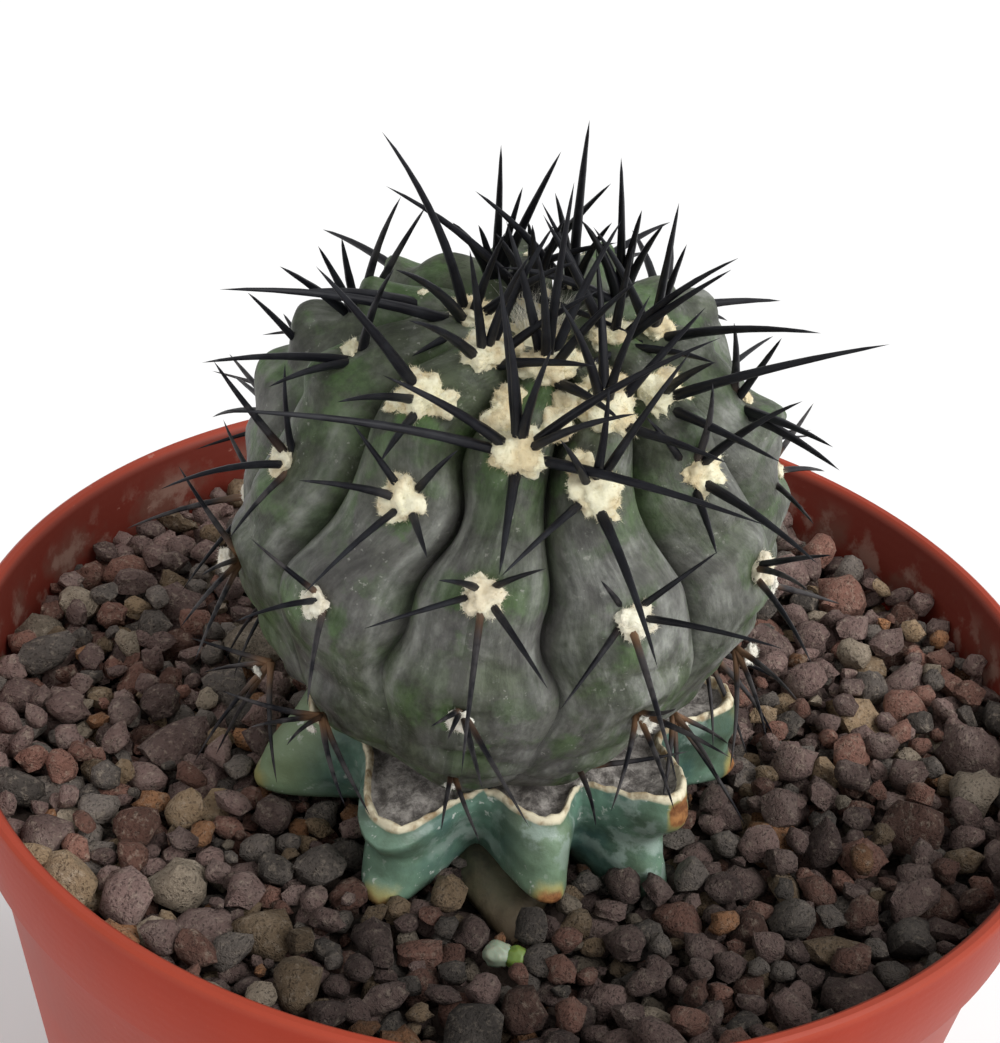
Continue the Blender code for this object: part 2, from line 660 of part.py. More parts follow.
def lifted_clear(areole, heading, length, bow):
    """The heading, turned up and outwards until the spine is clear of what lies below it."""
    away = Vector((areole.outward.x, areole.outward.y, 0)).normalized() + Vector((0, 0, 0.9))
    checked = [share / 12 for share in range(2, 13)]
    for _ in range(LIFT_TRIES):
        if not any(blocked(point) for point in spine_points(areole, heading, length, bow, checked)):
            break
        heading = (heading + LIFT_STEP * away).normalized()
    return heading


def headings(areole, rng):
    """The areole's spines as (heading, length): those that the photograph shows, or else a fan."""
    found = []
    for compass, rise, length in SEEN_SPINES.get(areole.place, []):
        level = math.cos(math.radians(rise))
        turn = math.radians(compass)
        heading = Vector((level * math.cos(turn), level * math.sin(turn), math.sin(math.radians(rise))))
        found.append((heading, length / 1000))
    if found:
        return found
    longest = between(SPINE_LENGTHS, areole.arc)
    spread = between(SPINE_SPREADS, areole.arc)
    highest = between(FAN_RISES, areole.arc)
    for compass, tilt, share in SPINE_FAN:
        turn = math.radians(compass + rng.uniform(-14, 14))
        lean = math.radians(tilt * spread + rng.uniform(-8, 8))
        aside = areole.upward * math.cos(turn) + areole.sideways * math.sin(turn)
        heading = areole.outward * math.cos(lean) + aside * math.sin(lean)
        length = longest * share * rng.uniform(0.84, 1.08)
        apart = all(heading.angle(other) > SPINE_APART for other, _ in found)
        if apart and heading.z < highest and len(found) < SPINES_AN_AREOLE:
            found.append((heading, length))
    return found


def spines(areole):
    """The areole's spines, as (root, middle and tip, width at the root)."""
    rng = random.Random(areole.seed)
    made = []
    for heading, length in headings(areole, rng):
        bow = SPINE_BOW * rng.uniform(0.3, 1.2)
        heading = lifted_clear(areole, heading, length, bow)
        width = between(SPINE_WIDTHS, areole.arc) * rng.uniform(0.86, 1.06)
        made.append((spine_points(areole, heading, length, bow, [share for share, _ in SPINE_TAPER]), width))
    return made


def spine_bm(points, width, bent):
    """A three-sided needle through root, middle and tip, or straight from root to tip."""
    bm = bmesh.new()
    bmesh.ops.create_cone(bm, cap_ends=True, segments=SPINE_SIDES, radius1=1, radius2=0.001, depth=2)
    bmesh.ops.remove_doubles(bm, verts=bm.verts, dist=0.01)
    if bent:
        sides = [edge for edge in bm.edges if abs(edge.verts[0].co.z - edge.verts[1].co.z) > 1]
        bmesh.ops.subdivide_edges(bm, edges=sides, cuts=1)
        bmesh.ops.triangulate(bm, faces=bm.faces)
    heading = (points[2] - points[0]).normalized()
    across = heading.orthogonal().normalized()
    over = heading.cross(across)
    for vert in bm.verts:
        ring = round(vert.co.z) + 1
        around = math.atan2(vert.co.y, vert.co.x)
        radius = width / 2 * SPINE_TAPER[ring][1]
        vert.co = points[ring] + radius * (across * math.cos(around) + over * math.sin(around))
    return bm


def wool_bm(areole):
    """A lumpy cushion of wool, sunk in the areole."""
    rng = random.Random(areole.seed + 7)
    size = between(WOOL_RADII, areole.arc) if areole.arc else CROWN_WOOL_RADIUS
    bm = bmesh.new()
    bmesh.ops.create_icosphere(bm, subdivisions=1, radius=1)
    for vert in bm.verts:
        lump = vert.co * size * rng.uniform(*WOOL_UNEVENNESS)
        beside = areole.sideways * lump.x + areole.upward * lump.y
        vert.co = areole.root + beside + areole.outward * (WOOL_FLATNESS * lump.z)
    return bm


def scion(collection):
    made = add_object("scion", mesh_from(scion_stem(), "scion"), "scion_skin", collection)
    grown = new_collection("grown_on_scion")
    for areole in areoles():
        add_object("wool", mesh_from(wool_bm(areole), "wool"), "areole_wool", grown)
        for points, width in spines(areole) if areole.arc else []:
            bent = areole.arc < BENT_SPINES_TO
            add_object("spine", mesh_from(spine_bm(points, width, bent), "spine"), "black_spine", grown)
    combine(made, "UNION", grown)
    return made


def main():
    clear_scene()
    plant = new_collection("potted_copiapoa")
    for make in (pot, potting_mix, gravel, rootstock, scion):
        obj = make(plant)
        obj.data.set_sharp_from_angle(angle=math.radians(40))


main()
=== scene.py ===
"""The looks of a grafted copiapoa in a plastic pot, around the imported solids.

Metres, +Z up, -Y is the front. The pot, the lava gravel, the rootstock and the scion are modelled finely in
the places of their solids. Every random draw is seeded.
"""

import math
import random

import bpy
import numpy as np
from bpy.props import CollectionProperty, FloatProperty, FloatVectorProperty, IntProperty, PointerProperty
from mathutils import Matrix, Vector, noise


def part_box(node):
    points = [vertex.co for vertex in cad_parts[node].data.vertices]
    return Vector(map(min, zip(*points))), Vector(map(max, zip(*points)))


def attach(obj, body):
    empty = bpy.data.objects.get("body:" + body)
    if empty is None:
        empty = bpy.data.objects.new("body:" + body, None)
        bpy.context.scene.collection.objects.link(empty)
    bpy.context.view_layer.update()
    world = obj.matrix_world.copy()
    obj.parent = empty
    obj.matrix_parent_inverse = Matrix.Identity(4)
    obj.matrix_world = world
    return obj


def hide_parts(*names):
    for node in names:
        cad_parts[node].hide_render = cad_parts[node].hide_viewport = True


bl_info = {
    "name": "Potted copiapoa",
    "version": (1, 0, 0),
    "blender": (4, 5, 0),
    "location": "View3D > Sidebar > Copiapoa",
    "description": "Models a grafted, spiny copiapoa in a plastic pot of lava gravel",
    "category": "Add Mesh",
}

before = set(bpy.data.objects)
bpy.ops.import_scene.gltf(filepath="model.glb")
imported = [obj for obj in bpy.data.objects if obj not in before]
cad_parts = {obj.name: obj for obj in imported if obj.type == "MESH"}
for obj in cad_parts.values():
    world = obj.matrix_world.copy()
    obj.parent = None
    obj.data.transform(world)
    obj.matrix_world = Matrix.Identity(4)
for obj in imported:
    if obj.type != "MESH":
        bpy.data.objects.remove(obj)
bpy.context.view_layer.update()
POT_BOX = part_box("pot")

MM = 0.001

# Rootstock, as in the solids
ROOT_CENTRE = Vector((-0.0015, -0.0075))
ROOT_TOP = 0.1070
LOBES = [math.radians(a) for a in (-70, -22, 17, 46, 90, 140, 189, 240)]
# Height, radius in the valleys, radius at the lobes, from the top edge down
ROOT_LEVELS = [
    (0.1070, 0.0183, 0.0226), (0.1046, 0.0187, 0.0238), (0.1014, 0.0181, 0.0251), (0.0990, 0.0168, 0.0260),
    (0.0979, 0.0152, 0.0240), (0.0970, 0.0140, 0.0185), (0.0940, 0.0132, 0.0150), (0.0880, 0.0122, 0.0128),
]
LOBE_SHARPNESS = 2.2
# Lobes whose tips hang lower and how far, how wide a lobe is in radians, and where the sides start to hang
LOW_LOBES = ((0, 0.0014), (1, 0.0034), (3, 0.0046))
LOBE_WIDTH = 0.26
HANG_FROM, HANG_TO = 0.1045, 0.1000
LOW_TIP_HEIGHT = 0.0990

# Scion, as in the solids
SCION_FOOT = Vector((-0.0037, -0.0075, 0.1074))
LEAN = math.radians(4.0)
RIBS = 11
RIB_STEP = 2 * math.pi / RIBS
FRONT_RIB = math.radians(-94)
# Radius and height above the foot of the rib crests, from the crown's centre down
CREST_LINE = [
    (0.0000, 0.0400), (0.0040, 0.0412), (0.0075, 0.0424), (0.0115, 0.0423), (0.0155, 0.0402),
    (0.0197, 0.0364), (0.0232, 0.0312), (0.0258, 0.0248), (0.0270, 0.0180), (0.0262, 0.0118),
    (0.0241, 0.0063), (0.0214, 0.0027), (0.0198, 0.0009), (0.0187, 0.0000),
]
# Distance from the crown's centre along a crest, and the groove's depth there
GROOVE_DEPTHS = [
    (0.006, 0), (0.009, 0.0018), (0.014, 0.0040), (0.036, 0.0044),
    (0.043, 0.0028), (0.049, 0.0009), (0.054, 0),
]
# A rib's cross-section between two grooves is (1 - across ** first) ** second
RIB_ROUNDNESS = (4.2, 0.52)
CROWN_REACH = 0.012
SWELL_LENGTH = 0.0048
# Areoles down each rib, from the front rib towards +X: mm from the crown's centre, degrees aside of the rib
RIB_AREOLES = [
    [(11.5, 8), (20.0, 2), (33.0, 0), (45.5, 0), (57.0, 0)],
    [(16.5, -3), (23.5, -10), (35.5, -1), (47.5, 6), (57.5, 0)],
    [(8.0, 0), (16.0, -13), (24.0, -12), (36.5, 4), (48.0, 10), (57.5, 4)],
    [(11.0, -10), (22.5, -8), (33.0, 0), (45.5, -3), (56.0, 0)],
    [(9.5, 0), (17.5, 5), (28.0, -4), (40.0, 3), (52.0, -3)],
    [(7.5, 0), (14.0, 5), (24.0, -6), (36.0, 2), (48.0, -4)],
    [(5.0, 0), (12.5, -5), (22.0, 5), (34.0, -3), (46.0, 3), (57.0, 0)],
    [(9.0, -9), (17.0, 6), (28.0, -5), (40.0, 4), (52.0, -2)],
    [(12.0, 5), (20.5, -4), (26.5, 0), (32.5, 5), (45.0, -3), (56.0, 0)],
    [(7.5, -6), (19.0, -6), (30.0, 5), (44.0, -5), (54.5, 6)],
    [(11.5, 10), (17.5, 0), (26.5, 10), (38.5, -1), (55.0, -3)],
]
# Which ribs have humps under their upper areoles, and how much of one
HUMP_SHARES = {2: 0.6, 3: 1.0, 4: 1.0, 5: 1.0, 6: 1.0, 7: 1.0, 8: 1.0, 9: 0.7}
# How much older the spines of the side and back ribs look: in the sun they have weathered to tan
SIDE_AGES = {2: 0.30, 3: 0.50, 4: 0.40, 6: 0.40, 7: 0.50, 8: 0.50, 9: 0.30}
# Distance from the crown's centre, and there: wool radius, longest spine, spine thickness at its root
WOOL_RADII = [
    (0.009, 0.0021), (0.013, 0.0025), (0.022, 0.0023), (0.034, 0.0019),
    (0.040, 0.0013), (0.050, 0.0010), (0.054, 0.0005),
]
SPINE_LENGTHS = [(0.012, 0.0240), (0.022, 0.0210), (0.034, 0.0175), (0.047, 0.0150), (0.060, 0.0125)]
SPINE_WIDTHS = [(0.018, 0.00125), (0.026, 0.00105), (0.036, 0.00085), (0.060, 0.00070)]
# Spines of the areoles that show, by (rib, row): compass angle from +X, rise in degrees, length in mm
SEEN_SPINES = {
    (0, 0): [(-58, 6, 13), (-81, 77, 21), (-36, 54, 15)],
    (0, 1): [
        (-92, -20, 14), (-157, 15, 28), (-24, 2, 24), (-151, 36, 17),
        (-141, 78, 20), (-22, 44, 24), (-40, 37, 16),
    ],
    (0, 2): [(-121, 37, 9), (-134, 9, 14), (-34, 43, 9), (-90, -24, 18), (-59, -6, 13)],
    (0, 3): [(-112, 29, 7), (-97, 20, 6), (-58, -8, 14), (-76, 8, 12)],
    (0, 4): [(-91, 11, 9), (-67, 2, 9)],
    (1, 0): [(-42, 6, 14), (-140, 61, 15)],
    (1, 1): [(-121, -6, 15), (-71, -16, 20), (-23, 67, 18), (-119, 49, 12)],
    (1, 2): [(-149, 52, 7), (-20, 56, 12), (-35, 17, 16), (-119, -11, 13), (-77, -11, 19)],
    (1, 3): [(-61, 48, 7), (-45, 15, 11), (-78, 1, 13), (-104, -8, 12)],
    (1, 4): [(2, 26, 11), (-79, 7, 8)],
    (2, 0): [(-33, 43, 16), (-31, 45, 17), (-42, 11, 13)],
    (2, 1): [(-40, 33, 27), (-53, 6, 17), (-65, 42, 12)],
    (2, 2): [(-97, 68, 13), (-143, 46, 11), (-50, 50, 17), (-57, 3, 18), (-82, -10, 11)],
    (2, 3): [(-61, 38, 13), (-72, -5, 14), (-73, 24, 12)],
    (2, 4): [(-83, -5, 12), (-97, -18, 14), (-68, 12, 11)],
    (3, 0): [(-41, 21, 20), (-89, 60, 20), (-129, -6, 17)],
    (3, 1): [(-118, 62, 12), (-77, 55, 13), (-65, 14, 17), (-62, 6, 17)],
    (3, 2): [(57, -24, 12), (72, 6, 13), (-78, 8, 13)],
    (3, 3): [(40, -29, 13)],
    (4, 0): [(-102, 65, 19), (-66, 55, 13), (-138, 22, 17)],
    (4, 1): [(31, -10, 14), (89, -1, 14), (106, 2, 15), (50, -29, 12)],
    (4, 2): [(65, -6, 13), (95, 2, 12), (80, -35, 11)],
    (5, 0): [(-90, 68, 22), (-139, 44, 18)],
    (5, 1): [(55, -1, 15), (62, -16, 14)],
    (6, 0): [(-149, 40, 22)],
    (6, 1): [(-54, 48, 17), (-97, 46, 9)],
    (7, 0): [(-92, 61, 20), (-120, 44, 12), (-105, 48, 11), (-60, 59, 20), (-45, 5, 19)],
    (7, 1): [(131, -7, 17)],
    (8, 0): [(-139, 14, 15)],
    (8, 1): [(-17, 61, 15), (-42, 67, 16), (-93, 56, 14), (-104, 49, 15), (-132, 39, 12)],
    (8, 2): [(-135, 51, 11), (112, 2, 8)],
    (8, 3): [(117, -1, 12), (115, -13, 12), (126, -32, 14)],
    (9, 0): [(-138, 60, 24), (-152, 13, 26), (-113, 34, 20), (-120, -4, 10)],
    (9, 1): [(-130, 15, 19), (-116, 9, 14), (-59, 57, 15)],
    (9, 2): [(-138, 59, 15), (-82, 74, 13), (-123, 14, 17), (-105, -9, 12)],
    (9, 3): [(-150, 67, 13), (-96, 24, 10), (-100, 2, 13), (-93, -11, 14)],
    (10, 0): [(-120, 33, 15), (-105, 63, 15), (-40, 18, 14)],
    (10, 1): [(-122, 19, 13), (-105, -11, 10), (-144, 53, 19)],
    (10, 2): [(-136, 27, 13), (-154, 60, 10), (-25, 53, 9), (-69, -3, 9), (-113, -2, 17)],
    (10, 3): [(-118, 21, 13), (-85, -15, 12), (-139, 53, 12)],
    (10, 4): [(-142, 39, 13), (-118, 32, 12), (-97, 28, 11), (-67, -1, 12), (-57, -5, 13)],
}
# More of the crown's crowded spines, which the solid leaves out, in the same terms
CROWN_SPINES = {
    (0, 0): [(-108, 68, 15), (150, 66, 14), (40, 62, 15)],
    (0, 1): [(-118, 74, 17), (-70, 66, 15)],
    (1, 0): [(-62, 72, 15), (110, 58, 15), (20, 52, 13)],
    (1, 1): [(-92, 72, 14)],
    (2, 0): [(-160, 58, 15), (150, 50, 14), (-80, 66, 13)],
    (3, 0): [(-150, 55, 14), (-70, 66, 12)],
    (4, 0): [(-118, 48, 15), (-82, 62, 13)],
    (5, 0): [(-108, 58, 15), (-70, 50, 14)],
    (6, 0): [(-96, 55, 14), (-70, 62, 13), (-120, 50, 13)],
    (7, 0): [(-76, 58, 15), (-30, 30, 15)],
    (9, 0): [(-70, 58, 14), (-30, 40, 14)],
    (10, 0): [(-60, 62, 15), (20, 66, 14), (-10, 40, 13)],
}
SPINES_AN_AREOLE = 5
# A hidden areole's fan: degrees round from the side towards the crown, degrees of tilt, share of full length
SPINE_FAN = [
    (178, 24, 1.00), (192, 72, 0.92), (238, 68, 0.86),
    (122, 68, 0.88), (300, 60, 0.66), (60, 60, 0.70),
]
SPINE_APART = math.radians(34)
# Distance from the crown's centre, and the highest rise of a fan's spines there, as a share of their length
FAN_RISES = [(0.022, -0.25), (0.030, -0.10), (0.036, 0.25), (0.045, 0.9)]
SPINE_SPREADS = [(0.008, 0.55), (0.030, 1.0)]
SPINE_BOW = 0.045
SPINE_SINK = 0.0016
CLEARANCE = 0.0010
# The solids that a spine keeps clear of: the gravel's top, the rim of the cut and the inside of the pot
GRAVEL_TOP = 0.0994
CUT_RIM_TOP = 0.1075
POT_BORE = 0.0579


# Small tools


def smooth_step(value, start, end):
    share = np.clip((value - start) / (end - start), 0, 1)
    return share * share * (3 - 2 * share)


def between(table, x):
    """The value of a two-column table at x, on straight lines between its rows."""
    return float(np.interp(x, *zip(*table)))


def bell(distance, width):
    return np.exp(-((distance / width) ** 2))


def through(points, steps):
    """Points on a smooth curve through all the given ones, with so many steps between two of them."""
    knots = np.array([points[0], *points, points[-1]], float)
    knots[0] = 2 * knots[1] - knots[2]
    knots[-1] = 2 * knots[-2] - knots[-3]
    share = np.linspace(0, 1, steps, endpoint=False)[:, None]
    curve = []
    for a, b, c, d in zip(knots, knots[1:], knots[2:], knots[3:]):
        bend = (2 * a - 5 * b + 4 * c - d) * share**2 + (3 * b - a - 3 * c + d) * share**3
        curve.append(0.5 * (2 * b + (c - a) * share + bend))
    return np.vstack([*curve, knots[-2]])


def deselect():
    if bpy.context.mode != "OBJECT":
        bpy.ops.object.mode_set(mode="OBJECT")
    bpy.ops.object.select_all(action="DESELECT")


def only(obj):
    """Makes an object the only one selected, and the active one."""
    deselect()
    obj.select_set(True)
    bpy.context.view_layer.objects.active = obj


def new_mesh_object(name, points, faces):
    mesh = bpy.data.meshes.new(name)
    mesh.from_pydata([tuple(p) for p in points], [], [tuple(f) for f in faces])
    mesh.polygons.foreach_set("use_smooth", [True] * len(mesh.polygons))
    mesh.update()
    obj = bpy.data.objects.new(name, mesh)
    bpy.context.scene.collection.objects.link(obj)
    return obj


def vertex_values(obj, name, values):
    """Keeps one number for each of the mesh's points, for the materials to read."""
    attribute = obj.data.attributes.new(name, "FLOAT", "POINT")
    attribute.data.foreach_set("value", np.asarray(values, np.float32))


def vertex_vectors(obj, name, vectors):
    attribute = obj.data.attributes.new(name, "FLOAT_VECTOR", "POINT")
    attribute.data.foreach_set("vector", np.asarray(vectors, np.float32).ravel())


def globe(name, columns, rows):
    """A ball of quads with radius 1."""
    deselect()
    bpy.ops.mesh.primitive_uv_sphere_add(segments=columns, ring_count=rows, radius=1)
    obj = bpy.context.object
    obj.name = obj.data.name = name
    bpy.ops.object.shade_smooth()
    return obj


def globe_places(obj, columns, rows):
    """The column and the row of each of a globe's points. The rows count from the top down."""
    x, y, z = np.array([vert.co[:] for vert in obj.data.vertices]).T
    column = np.round(np.arctan2(y, x) / (2 * math.pi) * columns) % columns
    return column, np.round(np.arccos(np.clip(z, -1, 1)) / math.pi * rows).astype(int)


def ball(subdivisions):
    """The points and faces of a ball of triangles with radius 1."""
    deselect()
    bpy.ops.mesh.primitive_ico_sphere_add(subdivisions=subdivisions, radius=1)
    obj = bpy.context.object
    points = np.array([vert.co[:] for vert in obj.data.vertices])
    faces = np.array([face.vertices[:] for face in obj.data.polygons])
    bpy.data.objects.remove(obj)
    return points, faces


def move_points(obj, places):
    obj.data.vertices.foreach_set("co", np.asarray(places, np.float64).ravel())
    obj.data.update()


def finish_piece(obj, material, node):
    """Gives a piece its finish, and puts it in the place of a solid."""
    obj.data.materials.clear()
    obj.data.materials.append(material)
    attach(obj, "root")
    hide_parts(node)


# Materials


# Where the Texture Coordinate and Attribute nodes have the outputs that are read
OBJECT_OUTPUT = 3
VECTOR_OUTPUT, FACTOR_OUTPUT = 1, 2


class Value:
    """A number, vector or colour that changes over the surface: a node's output, to reckon with."""

    def __init__(self, socket):
        self.socket, self.tree = socket, socket.id_data

    def __add__(self, other):
        return put(self.tree, "Math", {0: self, 1: other}, operation="ADD")[0]

    def __sub__(self, other):
        return put(self.tree, "Math", {0: self, 1: other}, operation="SUBTRACT")[0]

    def __rsub__(self, other):
        return put(self.tree, "Math", {0: other, 1: self}, operation="SUBTRACT")[0]

    def __mul__(self, other):
        return put(self.tree, "Math", {0: self, 1: other}, operation="MULTIPLY")[0]

    def __abs__(self):
        return put(self.tree, "Math", {0: self}, operation="ABSOLUTE")[0]


def feed(socket, value):
    """Links an input to a value, or sets it to a plain number, vector or colour."""
    if isinstance(value, Value):
        value.tree.links.new(value.socket, socket)
    elif socket.type == "RGBA":
        socket.default_value = (*value, 1)
    else:
        socket.default_value = value


def put(tree, kind, inputs=None, **settings):
    """Adds a node with its settings, feeds its inputs by name or number, and gives its outputs as values."""
    made = tree.nodes.new("ShaderNode" + kind)
    for name, value in settings.items():
        setattr(made, name, value)
    for name, value in (inputs or {}).items():
        feed(made.inputs[name], value)
    return [Value(socket) for socket in made.outputs]


def clamped(value):
    """The last sum or product, kept between 0 and 1."""
    value.socket.node.use_clamp = True
    return value


def mixed(share, first, second):
    """A colour between two colours."""
    return put(share.tree, "Mix", {0: share, 6: first, 7: second}, data_type="RGBA")[2]


def shaded(colour, factor):
    """A darker or paler shade of a plain colour."""
    return tuple(min(1.0, part * factor) for part in colour)


def ranged(value, low, high, to_low=0.0, to_high=1.0):
    """A value's place between low and high, as a smooth share."""
    inputs = {"Value": value, "From Min": low, "From Max": high, "To Min": to_low, "To Max": to_high}
    return put(value.tree, "MapRange", inputs, interpolation_type="SMOOTHSTEP")[0]


def noisy(vector, scale, detail=3.0, roughness=0.55):
    inputs = {"Vector": vector, "Scale": scale, "Detail": detail, "Roughness": roughness}
    return put(vector.tree, "TexNoise", inputs)[0]


def separated(vector):
    return put(vector.tree, "SeparateXYZ", {0: vector})


def combined(x, y, z=0.0):
    return put(x.tree, "CombineXYZ", {0: x, 1: y, 2: z})[0]


def moved(vector, shift):
    return put(vector.tree, "VectorMath", {0: vector, 1: shift}, operation="ADD")[0]


def stretched(vector, scale):
    return put(vector.tree, "Mapping", {"Vector": vector, "Scale": scale})[0]


def multiplied(vector, factor):
    """A vector or colour times a number."""
    return put(vector.tree, "VectorMath", {0: vector, "Scale": factor}, operation="SCALE")[0]


def bumped(height, strength, distance):
    inputs = {"Height": height, "Strength": strength, "Distance": distance}
    return put(height.tree, "Bump", inputs)[0]


def new_material(name):
    """A material, and the place on the object that its patterns are set out by."""
    material = bpy.data.materials.new(name)
    material.use_nodes = True
    return material, put(material.node_tree, "TexCoord")[OBJECT_OUTPUT]


def read_value(place, name):
    """The number that a mesh holds for each of its points."""
    return put(place.tree, "Attribute", attribute_name=name)[FACTOR_OUTPUT]


def read_vector(place, name):
    return put(place.tree, "Attribute", attribute_name=name)[VECTOR_OUTPUT]


def shader_of(material, **inputs):
    """Feeds the inputs of the material's Principled BSDF. In their names _ stands for a space."""
    shader = next(node for node in material.node_tree.nodes if node.type == "BSDF_PRINCIPLED")
    for name, value in inputs.items():
        feed(shader.inputs[name.replace("_", " ")], value)


def build_patches(vector, scale, cover, edge):
    """Soft-edged patches: a mask of blotches of one size, ragged by a finer noise."""
    fine = noisy(vector, scale * 6.0, 3.0, 0.65)
    ragged = noisy(vector, scale, 1.5) + (fine - 0.5) * 0.28
    level = 1.0 - cover
    return [ranged(ragged, level - edge, level + edge)]


def build_streaks(vector, scale, stretch):
    """Fine streaks that run down the skin, as waxy bloom has where it was brushed."""
    x, y, z = separated(vector)
    return [ranged(noisy(combined(x, y * stretch, z), scale, 4.0, 0.7), 0.35, 0.68)]


def build_pores(vector, scale, depth):
    """A height of pits and grains, as porous stone and crumbly soil have."""
    bent = noisy(vector, scale * 0.6, 2.0)
    place = moved(vector, multiplied(combined(bent, bent, bent), 0.0008))
    pits = ranged(put(vector.tree, "TexVoronoi", {"Vector": place, "Scale": scale})[0], 0.16, 0.42, 1.0, 0.0)
    grain = noisy(vector, scale * 2.2, 4.0, 0.7)
    return [grain * 0.8 - pits * depth, pits]


# Effects that several materials share: how each is built, its inputs after Vector, and its outputs
EFFECTS = {
    "Patches": (build_patches, {"Scale": 100.0, "Cover": 0.5, "Edge": 0.1}, ["Mask"]),
    "Streaks": (build_streaks, {"Scale": 400.0, "Stretch": 0.2}, ["Fac"]),
    "Pores": (build_pores, {"Scale": 900.0, "Depth": 0.6}, ["Height", "Pits"]),
}


def effect_group(name):
    """The node group of an effect, which is built when it is first used."""
    if name in bpy.data.node_groups:
        return bpy.data.node_groups[name]
    build, inputs, outputs = EFFECTS[name]
    tree = bpy.data.node_groups.new(name, "ShaderNodeTree")
    tree.interface.new_socket(name="Vector", in_out="INPUT", socket_type="NodeSocketVector")
    for title, default in inputs.items():
        socket = tree.interface.new_socket(name=title, in_out="INPUT", socket_type="NodeSocketFloat")
        socket.default_value = default
    for title in outputs:
        tree.interface.new_socket(name=title, in_out="OUTPUT", socket_type="NodeSocketFloat")
    start = tree.nodes.new("NodeGroupInput")
    end = tree.nodes.new("NodeGroupOutput")
    sources = [Value(start.outputs[title]) for title in ("Vector", *inputs)]
    for title, value in zip(outputs, build(*sources)):
        feed(end.inputs[title], value)
    return tree


def effect(name, vector, *values):
    """Places an effect in a material, and gives its outputs."""
    inputs = dict(zip(("Vector", *EFFECTS[name][1]), (vector, *values)))
    return put(vector.tree, "Group", inputs, node_tree=effect_group(name))


def patches(vector, scale, cover, edge):
    return effect("Patches", vector, scale, cover, edge)[0]


def streaks(vector, scale, stretch):
    return effect("Streaks", vector, scale, stretch)[0]


def pot_plastic(colour):
    """Terracotta-orange moulded plastic: satin, with painted shade inside the collar, dust low inside, a
    painted highlight on the lip, pale scuffs and fine mould marks.
    """
    material, place = new_material("terracotta_plastic")
    x, y, height = separated(place)
    reach = put(place.tree, "VectorMath", {0: combined(x, y)}, operation="LENGTH")[1]
    top = POT_BOX[1].z
    inside = ranged(reach, 0.0587, 0.0583) * ranged(height, top - 0.0112, top - 0.0104)
    low_inside = inside * ranged(height, top - 0.0010, top - 0.0060)
    cloudy = noisy(place, 38.0)
    base = mixed(ranged(cloudy, 0.3, 0.7), shaded(colour, 0.90), shaded(colour, 1.08))
    base = mixed(ranged(noisy(place, 2600.0, 2.0), 0.60, 0.72) * 0.10, base, (0.44, 0.10, 0.055))
    # Painted shade: the collar's inside wall is painted darker than the outside.
    base = mixed(inside, base, (0.170, 0.028, 0.018))
    dirty = patches(place, 120.0, 0.42, 0.10) * low_inside
    base = mixed(dirty * 0.60, base, (0.15, 0.080, 0.058))
    lime = patches(place, 260.0, 0.42, 0.08) * low_inside
    base = mixed(lime * 0.50, base, (0.36, 0.24, 0.19))
    # Painted highlight: the top of the lip is painted paler.
    lip = ranged(height, top - 0.0011, top - 0.0002)
    base = mixed(lip * 0.25, base, (0.50, 0.13, 0.085))
    scuff = patches(stretched(place, (1, 1, 3.2)), 330.0, 0.24, 0.03)
    scuff = scuff * ranged(noisy(place, 45.0, 1.0), 0.56, 0.66)
    base = mixed(scuff * 0.40, base, (0.55, 0.28, 0.22))
    rough = clamped(cloudy * 0.16 + dirty * 0.35 + 0.36)
    wave = {"Vector": place, "Scale": 260.0, "Distortion": 1.5, "Detail": 1.0}
    rings = put(place.tree, "TexWave", wave, bands_direction="Z")[1]
    normal = bumped(noisy(place, 900.0, 2.0) + rings * 0.16, 0.10, 0.0003)
    shader_of(material, Base_Color=base, Roughness=rough, Normal=normal, Specular_IOR_Level=0.16)
    return material


def painted_grit_light(place):
    """Painted light and shade on the grit by place: paler at the pot's back and left, darker at the front."""
    x, y, _ = separated(place)
    cloud = (noisy(place, 55.0, 2.0) - 0.5) * 0.05
    return ranged(x * -0.45 + abs(x) * 0.55 + y * 0.65 + cloud, -0.020, 0.034, 0.88, 2.35)


def lava_stone(name, colour, paler):
    """Porous lava grit in one colour, with each stone a little darker or paler than the next, painted shade
    in its pits, and painted light and shade by place.
    """
    material, object_place = new_material(name)
    tone = read_value(object_place, "tone")
    place = moved(object_place, combined(tone, tone * 3.7))
    height, pits = effect("Pores", place, 2300.0, 0.6)
    base = mixed(tone, shaded(colour, 0.48), shaded(colour, 1.55))
    base = mixed(patches(place, 300.0, 0.40, 0.12) * 0.45, base, paler)
    dust = ranged(noisy(place, 1100.0, 4.0, 0.7), 0.50, 0.72)
    base = mixed(dust * 0.42, base, (0.36, 0.30, 0.235))
    # Painted shade: the pits are painted darker.
    base = mixed(pits * 0.40, base, shaded(colour, 0.25))
    # Painted light and shade: each stone's colour is made paler or darker by its place in the pot.
    base = multiplied(base, painted_grit_light(object_place))
    normal = bumped(height + noisy(place, 440.0, 6.0, 0.72) * 4.6, 1.0, 0.00042)
    shader_of(material, Base_Color=base, Roughness=0.88, Normal=normal, Specular_IOR_Level=0.28)
    return material


def soil(name, colour):
    """Dark crumbly potting mix with paler grains."""
    material, place = new_material(name)
    height, _ = effect("Pores", place, 700.0, 0.6)
    grains = put(place.tree, "TexVoronoi", {"Vector": place, "Scale": 520.0})[1]
    base = mixed(ranged(separated(grains)[0], 0.2, 1.0), shaded(colour, 0.5), shaded(colour, 2.2))
    normal = bumped(height, 0.9, 0.0006)
    shader_of(material, Base_Color=base, Roughness=0.95, Normal=normal, Specular_IOR_Level=0.2)
    return material


